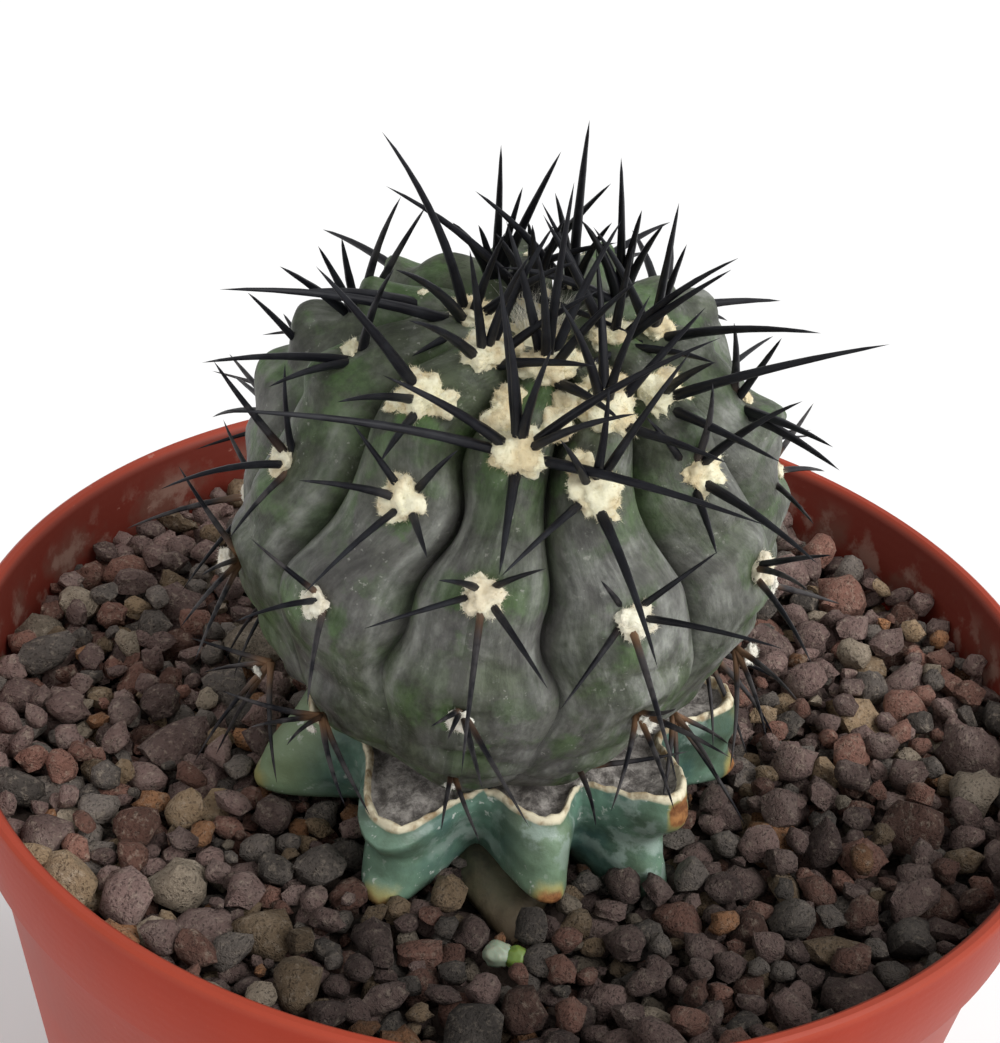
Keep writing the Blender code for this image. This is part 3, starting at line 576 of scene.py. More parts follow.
def scion_skin(green, bloom):
    """Grey-green skin with streaks of whitish wax, partly painted light; greener where the wax has worn off,
    purplish low down, with painted shade deep in the grooves.
    """
    material, place = new_material("scion_skin")
    skin = read_vector(place, "skin")
    groove = read_value(place, "groove")
    near = read_value(place, "near_areole")
    drop = read_value(place, "drop")
    streak = streaks(skin, 900.0, 0.14)
    broad_streak = streaks(skin, 300.0, 0.24)
    base = mixed(patches(place, 140.0, 0.50, 0.10), shaded(green, 0.55), shaded(green, 1.12))
    purple = ranged(noisy(place, 85.0, 2.0), 0.40, 0.58) * ranged(drop, 0.22, 0.50)
    base = mixed(purple * 0.60, base, (0.100, 0.090, 0.094))
    fresh = patches(place, 230.0, 0.46, 0.07) * clamped(near * 0.80 + 0.12)
    base = mixed(fresh, base, (0.058, 0.110, 0.032))
    wax_and_painted_light = (patches(place, 250.0, 0.45, 0.12) * 0.62 + 0.16) * (1.0 - groove)
    # More wax lower down: partly the skin's own bloom, partly painted shade at the top under the crown's
    # spines.
    wax_and_painted_light = wax_and_painted_light + ranged(drop, 0.20, 0.62) * 0.16
    wax_and_painted_light = clamped(wax_and_painted_light * (broad_streak * 0.75 + 0.25))
    wax_and_painted_light = clamped(wax_and_painted_light * (streak * 0.55 + 0.55))
    # More wax towards +X: partly the skin's own bloom, partly painted light from the right.
    wax_and_painted_light = clamped(wax_and_painted_light * ranged(separated(place)[0], -0.004, 0.016, 0.78, 1.8))
    base = mixed(wax_and_painted_light, base, bloom)
    edge = ranged(groove, 0.16, 0.30) * ranged(groove, 0.62, 0.42)
    edge = edge * (broad_streak * ranged(drop, 0.30, 0.50))
    base = mixed(edge * 0.8, base, bloom)
    specks = ranged(noisy(place, 1700.0, 2.0, 0.6), 0.635, 0.70)
    specks = specks * ranged(noisy(place, 210.0, 1.5), 0.50, 0.62)
    base = mixed(specks * 0.45, base, (0.34, 0.34, 0.30))
    grain = noisy(stretched(skin, (1.0, 0.55, 1.0)), 620.0, 6.0, 0.72)
    base = multiplied(base, ranged(grain, 0.34, 0.66, 0.72, 1.36))
    # Painted shade: the deepest parts of the grooves are painted near black.
    base = mixed(ranged(groove, 0.82, 1.0) * 0.80, base, (0.012, 0.013, 0.009))
    rough = clamped(wax_and_painted_light * 0.30 + 0.46)
    fine = noisy(place, 1500.0, 4.0, 0.65) + streak * 0.35
    normal = bumped(fine * 0.30 + noisy(place, 260.0), 0.60, 0.0006)
    shader_of(material, Base_Color=base, Roughness=rough, Normal=normal, Specular_IOR_Level=0.25)
    shader_of(material, Subsurface_Weight=0.06, Subsurface_Scale=0.002, Subsurface_Radius=(0.6, 1.0, 0.3))
    return material


def rootstock_skin(teal):
    """Glossy blue-green skin with rusty lobe tips, paler lobes that are partly painted light, a cream callus
    round the cut, and the felty cut itself.
    """
    material, place = new_material("rootstock_skin")
    base = mixed(patches(place, 150.0, 0.55, 0.16), shaded(teal, 0.42), shaded(teal, 1.15))
    base = mixed(patches(place, 230.0, 0.42, 0.12) * 0.55, base, (0.055, 0.125, 0.125))
    # Paler lobes: partly their own paler skin, partly painted light on lobes that lie in shade.
    base = mixed(read_value(place, "pale") * 0.85, base, (0.300, 0.390, 0.210))
    waxed = patches(place, 420.0, 0.44, 0.08) * ranged(noisy(place, 110.0, 2.0), 0.40, 0.62)
    base = mixed(waxed * 0.60, base, (0.40, 0.50, 0.45))
    flecks = ranged(noisy(place, 1150.0, 2.0, 0.6), 0.615, 0.68)
    flecks = flecks * ranged(noisy(place, 150.0, 1.5), 0.47, 0.60)
    base = mixed(flecks * 0.8, base, (0.72, 0.76, 0.70))
    ragged = (noisy(place, 420.0) - 0.5) * 0.5
    rust = read_value(place, "rust") + ragged
    rusty = ranged(rust, 0.42, 0.72)
    base = mixed(ranged(rust, 0.12, 0.50) * 0.8, base, (0.42, 0.36, 0.12))
    rust_cloud = ranged(noisy(place, 620.0, 4.0, 0.65), 0.34, 0.66)
    base = mixed(rusty, base, mixed(rust_cloud, (0.17, 0.060, 0.020), (0.46, 0.215, 0.075)))
    cut = read_value(place, "cut") + ragged * 0.3
    callus, dry = ranged(cut, 0.25, 0.42), ranged(cut, 0.62, 0.76)
    callus_cloud = ranged(noisy(place, 650.0), 0.32, 0.60)
    base = mixed(callus, base, mixed(callus_cloud, (0.36, 0.25, 0.13), (0.88, 0.80, 0.58)))
    felt = noisy(place, 800.0, 5.0, 0.75)
    base = mixed(dry, base, mixed(ranged(felt, 0.35, 0.66), (0.14, 0.125, 0.115), (0.52, 0.48, 0.44)))
    rough = clamped(callus * 0.35 + 0.36 + rusty * 0.25)
    normal = bumped(felt * (dry * 1.5 + 0.35) + noisy(place, 200.0, 2.0), 0.5, 0.0006)
    shader_of(material, Base_Color=base, Roughness=rough, Normal=normal, Specular_IOR_Level=0.5)
    return material


def foot_skin():
    """Corky olive-brown skin of the lobe at the rootstock's foot."""
    material, place = new_material("foot_lobe_skin")
    mottled = ranged(noisy(place, 240.0, 4.0, 0.65), 0.35, 0.65)
    base = mixed(mottled, (0.026, 0.024, 0.015), (0.085, 0.070, 0.040))
    base = mixed(patches(place, 150.0, 0.45, 0.15) * 0.4, base, (0.055, 0.080, 0.042))
    base = mixed(read_value(place, "tip") * 0.8, base, (0.24, 0.165, 0.095))
    normal = bumped(noisy(place, 900.0, 4.0, 0.7), 0.4, 0.0004)
    shader_of(material, Base_Color=base, Roughness=0.6, Normal=normal, Specular_IOR_Level=0.4)
    return material


def sprout_skin():
    """A fresh shoot: white below, bright green above."""
    material, place = new_material("sprout_skin")
    grown = read_value(place, "grown") + noisy(place, 700.0) * 0.35
    base = mixed(ranged(grown, 0.50, 0.80), (0.28, 0.33, 0.24), (0.13, 0.20, 0.035))
    normal = bumped(noisy(place, 1500.0), 0.2, 0.0002)
    shader_of(material, Base_Color=base, Roughness=0.45, Normal=normal)
    shader_of(material, Subsurface_Weight=0.2, Subsurface_Scale=0.002)
    return material


def wool(name, pale, warm):
    """Cream felt of fine fibres, warmer in its hollows, with painted shade there."""
    material, place = new_material(name)
    tufts = noisy(place, 1300.0, 5.0, 0.75)
    clumps = noisy(place, 380.0, 2.0)
    # Warmer where the clumps sink: partly the wool's own tint, partly painted shade.
    base = mixed(ranged(clumps, 0.35, 0.62), warm, pale)
    # Painted shade: darker between the tufts.
    base = mixed(ranged(tufts, 0.46, 0.30) * 0.30, base, shaded(warm, 0.6))
    base = mixed(read_value(place, "age") * 0.75, base, (0.86, 0.85, 0.81))
    normal = bumped(tufts + clumps * 0.8, 0.5, 0.0003)
    shader_of(material, Base_Color=base, Roughness=0.95, Normal=normal)
    shader_of(material, Specular_IOR_Level=0.1, Sheen_Weight=0.4)
    return material


def spine_horn(black):
    """Black horn with a slate bloom. Old spines are greyer, and tan or rusty at the root."""
    material, place = new_material("spine_horn")
    age = read_value(place, "age")
    rubbed = noisy(place, 300.0, 3.0, 0.6)
    fibre = noisy(stretched(read_vector(place, "horn"), (1, 1, 0.06)), 2600.0, 3.0, 0.6)
    base = mixed(ranged(rubbed, 0.40, 0.66), black, (0.014, 0.015, 0.019))
    grey = ranged(rubbed, 0.42, 0.60) * ranged(age, 0.25, 0.85)
    base = mixed(grey * 0.35, base, (0.13, 0.115, 0.11))
    foot = ranged(read_value(place, "along") + rubbed * 0.25, 0.48, 0.16)
    base = mixed(foot * ranged(age, 0.42, 0.95, 0.0, 0.85), base, (0.29, 0.160, 0.085))
    base = mixed(ranged(fibre, 0.50, 0.72) * 0.20, base, (0.040, 0.040, 0.045))
    rough = rubbed * 0.30 + 0.32
    normal = bumped(fibre + rubbed * 0.6, 0.35, 0.0002)
    shader_of(material, Base_Color=base, Roughness=rough, Normal=normal, Specular_IOR_Level=0.22)
    return material


# Pot


FLOOR_THICKNESS = 0.0018
FLOOR_RADIUS = 0.0374
FLOOR_CORNER = 0.0025
FOOT_ROUNDING = 0.0012
EDGE_ROUNDING = 0.00025
# The drain notches across the foot ring: their width, and twice their depth
NOTCH_SIZES = (0.006, 0.0026)
# Length of the rods that cut the drain holes, half of it below the pot
DRAIN_CUT = 0.02


def wall_radius(height, sizes):
    """The pot's outer radius below its collar."""
    collar_foot = POT_BOX[1].z - sizes.collar_height
    under_collar = POT_BOX[1].x - sizes.collar_flare - sizes.collar_step
    return sizes.foot_radius + (under_collar - sizes.foot_radius) * height / collar_foot


def bore_radius(height, sizes):
    """The pot's inner radius."""
    collar_foot = POT_BOX[1].z - sizes.collar_height
    if height <= collar_foot - sizes.collar_step:
        return wall_radius(height, sizes) - sizes.wall
    in_collar = wall_radius(collar_foot, sizes) - sizes.wall + sizes.collar_step
    return in_collar + sizes.bore_flare * max(0.0, (height - collar_foot) / sizes.collar_height)


def pot_profile(sizes):
    """The pot's half section: from the inside floor up, over the lip and down to the foot's recess."""
    top, rim = POT_BOX[1].z, POT_BOX[1].x
    collar_foot = top - sizes.collar_height
    floor = sizes.foot_recess + FLOOR_THICKNESS
    corner = floor + FLOOR_CORNER
    lip = sizes.wall / 3
    inner_lip = rim - sizes.wall
    return [
        (FLOOR_RADIUS, floor),
        (bore_radius(corner, sizes), corner),
        (bore_radius(collar_foot - sizes.collar_step, sizes), collar_foot - sizes.collar_step),
        (bore_radius(collar_foot, sizes), collar_foot),
        (inner_lip - lip, top - 2 * lip),
        (inner_lip - 0.2 * lip, top - 0.6 * lip),
        (inner_lip + 0.6 * lip, top - 0.05 * lip),
        (rim - 1.1 * lip, top),
        (rim - 0.3 * lip, top - 0.5 * lip),
        (rim, top - 1.5 * lip),
        (wall_radius(collar_foot, sizes) + sizes.collar_step, collar_foot + lip),
        (wall_radius(collar_foot, sizes) + 0.7 * sizes.collar_step, collar_foot),
        (wall_radius(collar_foot - lip, sizes), collar_foot - lip),
        (wall_radius(FOOT_ROUNDING, sizes), FOOT_ROUNDING),
        (sizes.foot_radius - FOOT_ROUNDING, 0.0),
        (sizes.foot_radius - sizes.foot_ring, 0.0),
        (sizes.foot_radius - sizes.foot_ring - lip, sizes.foot_recess),
    ]


def turn_profile(name, profile, steps):
    """A disc whose rim is extruded and scaled along a half section, and closed at the end."""
    deselect()
    radius, height = profile[0]
    place = (0, 0, height)
    bpy.ops.mesh.primitive_circle_add(vertices=steps, radius=radius, fill_type="NGON", location=place)
    obj = bpy.context.object
    obj.name = obj.data.name = name
    bpy.ops.object.transform_apply(location=True)
    bpy.ops.object.mode_set(mode="EDIT")
    bpy.ops.mesh.select_mode(type="EDGE")
    bpy.ops.mesh.select_all(action="SELECT")
    bpy.ops.mesh.region_to_loop()
    for (radius, height), (next_radius, next_height) in zip(profile, profile[1:]):
        bpy.ops.mesh.extrude_region_move(TRANSFORM_OT_translate={"value": (0, 0, next_height - height)})
        share = next_radius / radius
        bpy.ops.transform.resize(value=(share, share, 1), center_override=(0, 0, next_height))
    bpy.ops.mesh.edge_face_add()
    bpy.ops.mesh.select_all(action="SELECT")
    bpy.ops.mesh.normals_make_consistent(inside=False)
    bpy.ops.object.mode_set(mode="OBJECT")
    return obj


def apply_modifiers(obj):
    only(obj)
    for modifier in list(obj.modifiers):
        bpy.ops.object.modifier_apply(modifier=modifier.name)


def cut_away(obj, cutters):
    """Cuts the shapes of some objects out of one object, and removes them."""
    for cutter in cutters:
        cut = obj.modifiers.new("cut", "BOOLEAN")
        cut.operation = "DIFFERENCE"
        cut.solver = "EXACT"
        cut.object = cutter
    apply_modifiers(obj)
    for cutter in cutters:
        bpy.data.objects.remove(cutter)


def drain_cutters(sizes):
    """A rod for each drain hole, and a bar for each notch across the foot ring."""
    cutters = []
    circle, radius = sizes.drain_circle, sizes.drain_radius
    turns = [2 * math.pi * (i + 0.5) / sizes.drain_holes for i in range(sizes.drain_holes)]
    for place in [(0, 0, 0)] + [(circle * math.cos(a), circle * math.sin(a), 0) for a in turns]:
        deselect()
        bpy.ops.mesh.primitive_cylinder_add(vertices=48, radius=radius, depth=DRAIN_CUT, location=place)
        cutters.append(bpy.context.object)
    reach = sizes.foot_radius - sizes.foot_ring / 2
    for i in range(sizes.drain_holes):
        turn = 2 * math.pi * i / sizes.drain_holes
        deselect()
        place = (reach * math.cos(turn), reach * math.sin(turn), 0)
        bpy.ops.mesh.primitive_cube_add(size=1, location=place, rotation=(0, 0, turn))
        bpy.context.object.scale = (3 * sizes.foot_ring, *NOTCH_SIZES)
        cutters.append(bpy.context.object)
    return cutters


# The rootstock's form, which the stones and spines keep clear of


def lobe_share(compass):
    """1 on a lobe's ridge and 0 in the valley between two lobes."""
    turn = 2 * math.pi
    behind = min((compass - lobe) % turn for lobe in LOBES)
    ahead = min((lobe - compass) % turn for lobe in LOBES)
    aside = 2 * min(behind, ahead) / (behind + ahead) if behind + ahead else 0.0
    return math.cos(math.pi / 2 * aside) ** LOBE_SHARPNESS


ROOT_CURVE = through(ROOT_LEVELS, 8)[::-1]


def lobe_hang(compass):
    """How far a lobe's tip hangs below the usual height."""
    turns = [math.remainder(compass - LOBES[lobe], 2 * math.pi) for lobe, _ in LOW_LOBES]
    return sum(depth * bell(turn, LOBE_WIDTH) for turn, (_, depth) in zip(turns, LOW_LOBES))


def root_radius(compass, height):
    """The rootstock's outer radius at a height."""
    height = height + lobe_hang(compass) * (1 - smooth_step(height, HANG_TO, HANG_FROM))
    valley = np.interp(height, ROOT_CURVE[:, 0], ROOT_CURVE[:, 1])
    lobe = np.interp(height, ROOT_CURVE[:, 0], ROOT_CURVE[:, 2])
    return valley + (lobe - valley) * lobe_share(compass)


def root_in_the_way(x, y, low, high, margin):
    """True where the rootstock takes up any of the space above a point, between two heights."""
    across, back = x - ROOT_CENTRE.x, y - ROOT_CENTRE.y
    reach = math.hypot(across, back) - margin
    compass = math.atan2(across, -back)
    return any(reach < root_radius(compass, low + (high - low) * k / 4) for k in range(5))


# Gravel


# The height at which the pot's bore bounds the stones, and how far a stone lies tilted, in radians
MID_GRAVEL = 0.098
STONE_TILT = 0.35
# The bed of fines under the stones: its gap to the pot's wall, and how rough it is
BED_GAP = 0.0004
BED_ROUGHNESS = 0.0006


def stone_shape(rng, subdivisions):
    """One lump of grit, about 1 across: a ball flattened by a few random cuts and roughened."""
    places, faces = ball(subdivisions)
    seed = Vector(rng.uniform(-50, 50) for _ in range(3))
    places *= np.array([1 + 0.46 * noise.noise(Vector(p) * 1.25 + seed) for p in places])[:, None]
    for _ in range(rng.randint(4, 7)):
        away = Vector(rng.gauss(0, 1) for _ in range(3)).normalized()
        limit = rng.uniform(0.66, 0.92)
        over = np.maximum(0, places @ np.array(away) - limit)
        places -= 0.72 * over[:, None] * np.array(away)
    rough = np.array([0.24 * noise.noise(Vector(p) * 3.1 + seed) for p in places])
    return places * (1 + rough)[:, None], faces


def settle(sizes, pot, rng):
    """Where the stones lie, dropped one by one in the lowest of a few random spots: (x, y, z, radius)."""
    placed = np.zeros((0, 4))
    full = 0
    for _ in range(sizes.stones):
        across = sizes.usual * math.exp(rng.gauss(0, sizes.spread))
        radius = min(sizes.largest, max(sizes.smallest, across)) / 2
        best = None
        for _ in range(sizes.tries):
            turn = rng.uniform(0, 2 * math.pi)
            reach = (bore_radius(MID_GRAVEL, pot) - 0.85 * radius) * math.sqrt(rng.random())
            x, y = reach * math.cos(turn), reach * math.sin(turn)
            apart = np.hypot(placed[:, 0] - x, placed[:, 1] - y)
            touching = placed[:, 3] + radius
            below = apart < touching
            z = sizes.bed + 0.6 * radius
            if below.any():
                lift = np.sqrt(touching[below] ** 2 - apart[below] ** 2) * sizes.squash
                z = max(z, float((placed[below, 2] + lift).max()))
            if best is None or z < best[2]:
                best = (x, y, z, radius)
        x, y, z, radius = best
        if z + radius * 0.8 > sizes.top:
            full += 1
            if full > sizes.give_up:
                break
            continue
        if root_in_the_way(x, y, z - 0.7 * radius, z + 0.9 * radius, 0.85 * radius):
            continue
        placed = np.vstack([placed, best])
    return placed


def gravel_stones(sizes, pot, kinds):
    """The stones, joined by colour: {kind: (points, faces, tones)}."""
    rng = random.Random(sizes.seed)
    shapes = [stone_shape(rng, 2) for _ in range(sizes.shapes)]
    fines = [stone_shape(rng, 1) for _ in range(sizes.shapes)]
    names = list(kinds)
    shares = [kinds[name].share for name in names]
    joined = {name: ([], [], []) for name in names}
    for x, y, z, radius in settle(sizes, pot, rng):
        if any(math.hypot(x - a, y - b) < clear + radius for a, b, clear in sizes.kept_clear):
            continue
        points, faces = rng.choice(fines if radius < sizes.fine / 2 else shapes)
        long, wide = rng.uniform(0.95, 1.35), rng.uniform(0.85, 1.05)
        scale = np.array([long, wide, rng.uniform(0.62, 0.92)]) * radius * 1.12
        tumble = Matrix.Rotation(rng.uniform(0, 2 * math.pi), 3, "Z")
        tumble = tumble @ Matrix.Rotation(rng.gauss(0, STONE_TILT), 3, "X")
        tumble = tumble @ Matrix.Rotation(rng.gauss(0, STONE_TILT), 3, "Y")
        tumble = tumble @ Matrix.Rotation(rng.uniform(0, 6.28), 3, "Z")
        placed = (points * scale) @ np.array(tumble).T + (x, y, z)
        kind = rng.choices(names, shares)[0]
        all_points, all_faces, tones = joined[kind]
        all_faces.append(faces + sum(len(p) for p in all_points))
        all_points.append(placed)
        tones.append(np.full(len(placed), rng.random()))
    return {name: tuple(np.concatenate(part) for part in parts) for name, parts in joined.items() if parts[0]}


# Rootstock


# The cut top, from its middle out: share of the radius, height above the cut, how much it is cut (0 is skin)
CUT_SECTION = [
    (0.00, 0.0001, 1.0), (0.40, 0.0000, 1.0), (0.62, -0.0002, 1.0), (0.78, -0.0006, 1.0),
    (0.88, -0.0009, 1.0), (0.935, -0.0007, 0.95), (0.955, -0.0002, 0.6), (0.970, 0.0003, 0.5),
    (0.982, 0.0004, 0.5), (0.992, 0.0002, 0.45), (1.000, -0.0003, 0.35), (1.004, -0.0009, 0.0),
]
CORNER_WIDTH = 0.24
TOP_ROUNDING = 0.0013
# The stump is lumpy outside of this radius, with lumps and fine lumps of these heights
LUMPY_FROM = 0.008
LUMP, FINE_LUMP = 0.00050, 0.00022


def rootstock_mesh(sizes):
    """The rootstock as a fine globe: cut top, callus rim, lobed side and buried end."""
    columns = sizes.columns_a_lobe * len(LOBES)
    rows = len(CUT_SECTION) + sizes.side_rows
    obj = globe("rootstock_body", columns, rows)
    drops = np.linspace(0, 1, sizes.side_rows)
    foot = ROOT_LEVELS[-1][0]
    places, cut, rust, pale = [], [], [], []
    for column, row in zip(*globe_places(obj, columns, rows)):
        place = column / columns * len(LOBES)
        before = int(place)
        ends = [LOBES[i % len(LOBES)] + 2 * math.pi * (i // len(LOBES)) for i in (before, before + 1)]
        compass = ends[0] + (ends[1] - ends[0]) * (place - before)
        ridge = lobe_share(compass)
        wobble = noise.noise(Vector((3 * math.sin(compass), 3 * math.cos(compass), 5.0)))
        aside = [math.remainder(compass - lobe, 2 * math.pi) for lobe in LOBES]
        nearest = min(range(len(LOBES)), key=lambda i: abs(aside[i]))
        grown, sunk = sizes.lobe_corners[nearest]
        at_corner = bell(aside[nearest], CORNER_WIDTH)
        sag = sunk * at_corner
        if row < len(CUT_SECTION):
            share, rise, cutness = CUT_SECTION[row]
            radius = share * (root_radius(compass, ROOT_TOP) + grown * at_corner)
            rise = rise * (0.5 + 0.5 * ridge) if rise > 0 and share > 0.9 else rise
            height = ROOT_TOP + rise + (0.0003 * wobble if share > 0.5 else 0)
            puckered = 0.0003 * math.sin(46 * compass + 5 * wobble) * smooth_step(share, 0.4, 0.8)
            jagged = 0.0006 * noise.noise(Vector((40 * compass, 9 * share, 2.0)))
            ragged = puckered * (share < 0.93) + jagged * smooth_step(share, 0.90, 0.96)
            height += ragged - sag * smooth_step(share, 0.74, 1.0)
        elif row < rows:
            top = ROOT_TOP - TOP_ROUNDING - sag
            height = top + (foot - top) * drops[row - len(CUT_SECTION)]
            radius = root_radius(compass, height) + grown * at_corner * smooth_step(height, HANG_TO, top)
            cutness = 0.0
        else:
            radius, height, cutness = 0.0, foot, 0.0
        away = Vector((math.sin(compass), -math.cos(compass)))
        spot = Vector((*(away * radius), height))
        if radius > LUMPY_FROM:
            radius += LUMP * noise.noise(spot * 220) + FINE_LUMP * noise.noise(spot * 640)
        x, y = ROOT_CENTRE.x + radius * away.x, ROOT_CENTRE.y + radius * away.y
        places.append((x, y, height))
        cut.append(cutness)
        rust_here, pale_here, upper_rust = sizes.lobe_marks[nearest]
        low_tip = bell(height - LOW_TIP_HEIGHT + lobe_hang(compass), 0.0019) * smooth_step(ridge, 0.80, 0.99)
        high_tip = bell(height - (ROOT_TOP - sag - 0.0018), 0.0020) * smooth_step(ridge, 0.86, 0.97)
        rust.append(max(rust_here * low_tip, upper_rust * high_tip))
        # Paleness along the lobe's ridge, partly painted light.
        pale.append(pale_here * smooth_step(ridge, 0.1, 0.9))
    move_points(obj, places)
    vertex_values(obj, "cut", cut)
    vertex_values(obj, "rust", rust)
    vertex_values(obj, "pale", pale)
    return obj


# The foot lobe's heading from the front, and its middle's height and distance from the stump's middle
FOOT_LOBE_HEADING = math.radians(9)
FOOT_LOBE_HEIGHT = 0.0980
FOOT_LOBE_OUT = 0.0165
# Half its length, width and thickness
FOOT_LOBE_SIZES = (0.0100, 0.0056, 0.0036)
# The sprout's two balls: name, centre, half sizes, and how green each has grown
SPROUT_BALLS = [
    ("sprout", (0.0012, -0.0380, 0.0966), (0.0015, 0.0013, 0.0013), 0.0),
    ("sprout_tip", (0.0030, -0.0382, 0.0966), (0.0014, 0.0012, 0.0012), 0.9),
]


def foot_lobe_mesh():
    """The small pointed lobe that juts from under the rootstock's front."""
    obj = globe("rootstock_foot_lobe", 48, 32)
    across, front = math.sin(FOOT_LOBE_HEADING), math.cos(FOOT_LOBE_HEADING)
    ahead = Vector((across, -front, -0.16)).normalized()
    aside = Vector((front, across, 0))
    over = aside.cross(ahead)
    centre = Vector((*ROOT_CENTRE, FOOT_LOBE_HEIGHT)) + ahead * FOOT_LOBE_OUT
    half_length, half_width, half_thickness = FOOT_LOBE_SIZES
    places, tips = [], []
    for vert in obj.data.vertices:
        p = vert.co
        slim = 1 - 0.62 * max(0, p.y) ** 1.2
        lump = 1 + 0.14 * noise.noise(p * 2.1)
        sideways, up = p.x * half_width * slim * lump, p.z * half_thickness * slim * lump
        places.append(centre + ahead * (p.y * half_length) + aside * sideways + over * up)
        tips.append(max(0, p.y) ** 3)
    move_points(obj, places)
    vertex_values(obj, "tip", tips)
    return obj


def sprout_mesh():
    """A shoot's bud between the stones: a white ball with a green one leaning on it."""
    parts = []
    for name, centre, size, grown in SPROUT_BALLS:
        obj = globe(name, 32, 20)
        places = []
        for vert in obj.data.vertices:
            lump = 1 + 0.16 * noise.noise(vert.co * 2.3 + Vector(centre) * 900)
            places.append([centre[i] + vert.co[i] * size[i] * lump for i in range(3)])
        move_points(obj, places)
        vertex_values(obj, "grown", np.full(len(places), grown))
        parts.append(obj)
    deselect()
    for part in parts:
        part.select_set(True)
    bpy.context.view_layer.objects.active = parts[0]
    bpy.ops.object.join()
    return parts[0]


# Scion


def crest_samples():
    """The crest line as close points with their distance along it, on a smooth curve through CREST_LINE."""
    knots = np.array([(-CREST_LINE[1][0], CREST_LINE[1][1]), *CREST_LINE])
    points = through(knots, 24)[24:]
    return points, np.concatenate([[0], np.cumsum(np.hypot(*np.diff(points, axis=0).T))])


CREST_POINTS, CREST_ARCS = crest_samples()
CREST_LENGTH = CREST_ARCS[-1]
# How far to each side a crest's direction is measured
CREST_STEP = 0.00005


def crest_point(arc):
    return np.array([np.interp(arc, CREST_ARCS, CREST_POINTS[:, i]) for i in (0, 1)])


def crest(arc):
    """The crest line's radius and height at distances from the crown, and its direction away from it."""
    arc = np.clip(arc, 0, CREST_LENGTH)
    behind, ahead = (crest_point(np.clip(arc + step, 0, CREST_LENGTH)) for step in (-CREST_STEP, CREST_STEP))
    return crest_point(arc), (ahead - behind) / np.hypot(*(ahead - behind))


def swell(rib, arc):
    """How far a rib is swollen: 1 at each areole, falling away between them."""
    return sum(bell(arc - at * MM, SWELL_LENGTH) for at, _ in RIB_AREOLES[rib % RIBS])


def crest_azimuth(rib, arc):
    """Where a rib's crest lies round the stem: it weaves from areole to areole."""
    at, aside = np.array(RIB_AREOLES[rib % RIBS], float).T
    arc = np.asarray(arc) / MM
    place = np.clip(np.searchsorted(at, arc, side="left") - 1, 0, len(at) - 2)
    share = np.clip((arc - at[place]) / (at[place + 1] - at[place]), 0, 1)
    eased = (1 - np.cos(math.pi * share)) / 2
    return FRONT_RIB + RIB_STEP * rib + np.radians(aside[place] + (aside[place + 1] - aside[place]) * eased)


def by_rib(function, ribs, *values):
    """A function of one rib and of arrays of values, for an array of ribs."""
    found = np.zeros_like(values[0])
    for rib in np.unique(ribs):
        chosen = ribs == rib
        found[chosen] = function(int(rib), *(value[chosen] for value in values))
    return found


def tubercles(rib, arc, across, sizes):
    """A rib's relief round its areoles: a notch for each, a lip over it, a chin and hump below, a crease."""
    total = np.zeros_like(arc)
    for at, _ in RIB_AREOLES[rib % RIBS]:
        from_areole = arc - at * MM
        middle = bell(across, 0.42)
        total += -sizes.notch * bell(from_areole, 0.0014) * bell(across, 0.30)
        total += sizes.lip * bell(from_areole + 0.0034, 0.0015) * middle
        total += sizes.chin * bell(from_areole - 0.0032, 0.0022) * middle
        hump = sizes.hump * HUMP_SHARES.get(rib % RIBS, 0) * bell(at * MM - 0.016, 0.014)
        total += hump * bell(from_areole - 0.0034, 0.0034) * bell(across, 0.55)
        total += -sizes.crease * bell(from_areole + 0.0058 - 0.0040 * across**2, 0.0007) * (1 - across**4)
    return total * smooth_step(arc, 0.010, 0.018)


def groove_wander(groove, arc):
    """How far a groove strays sideways, in ribs, on its way down."""
    phase = 2.4 * (groove % RIBS)
    return 0.030 * np.sin(arc / 0.0034 + phase) + 0.018 * np.sin(arc / 0.0017 + 2 * phase)


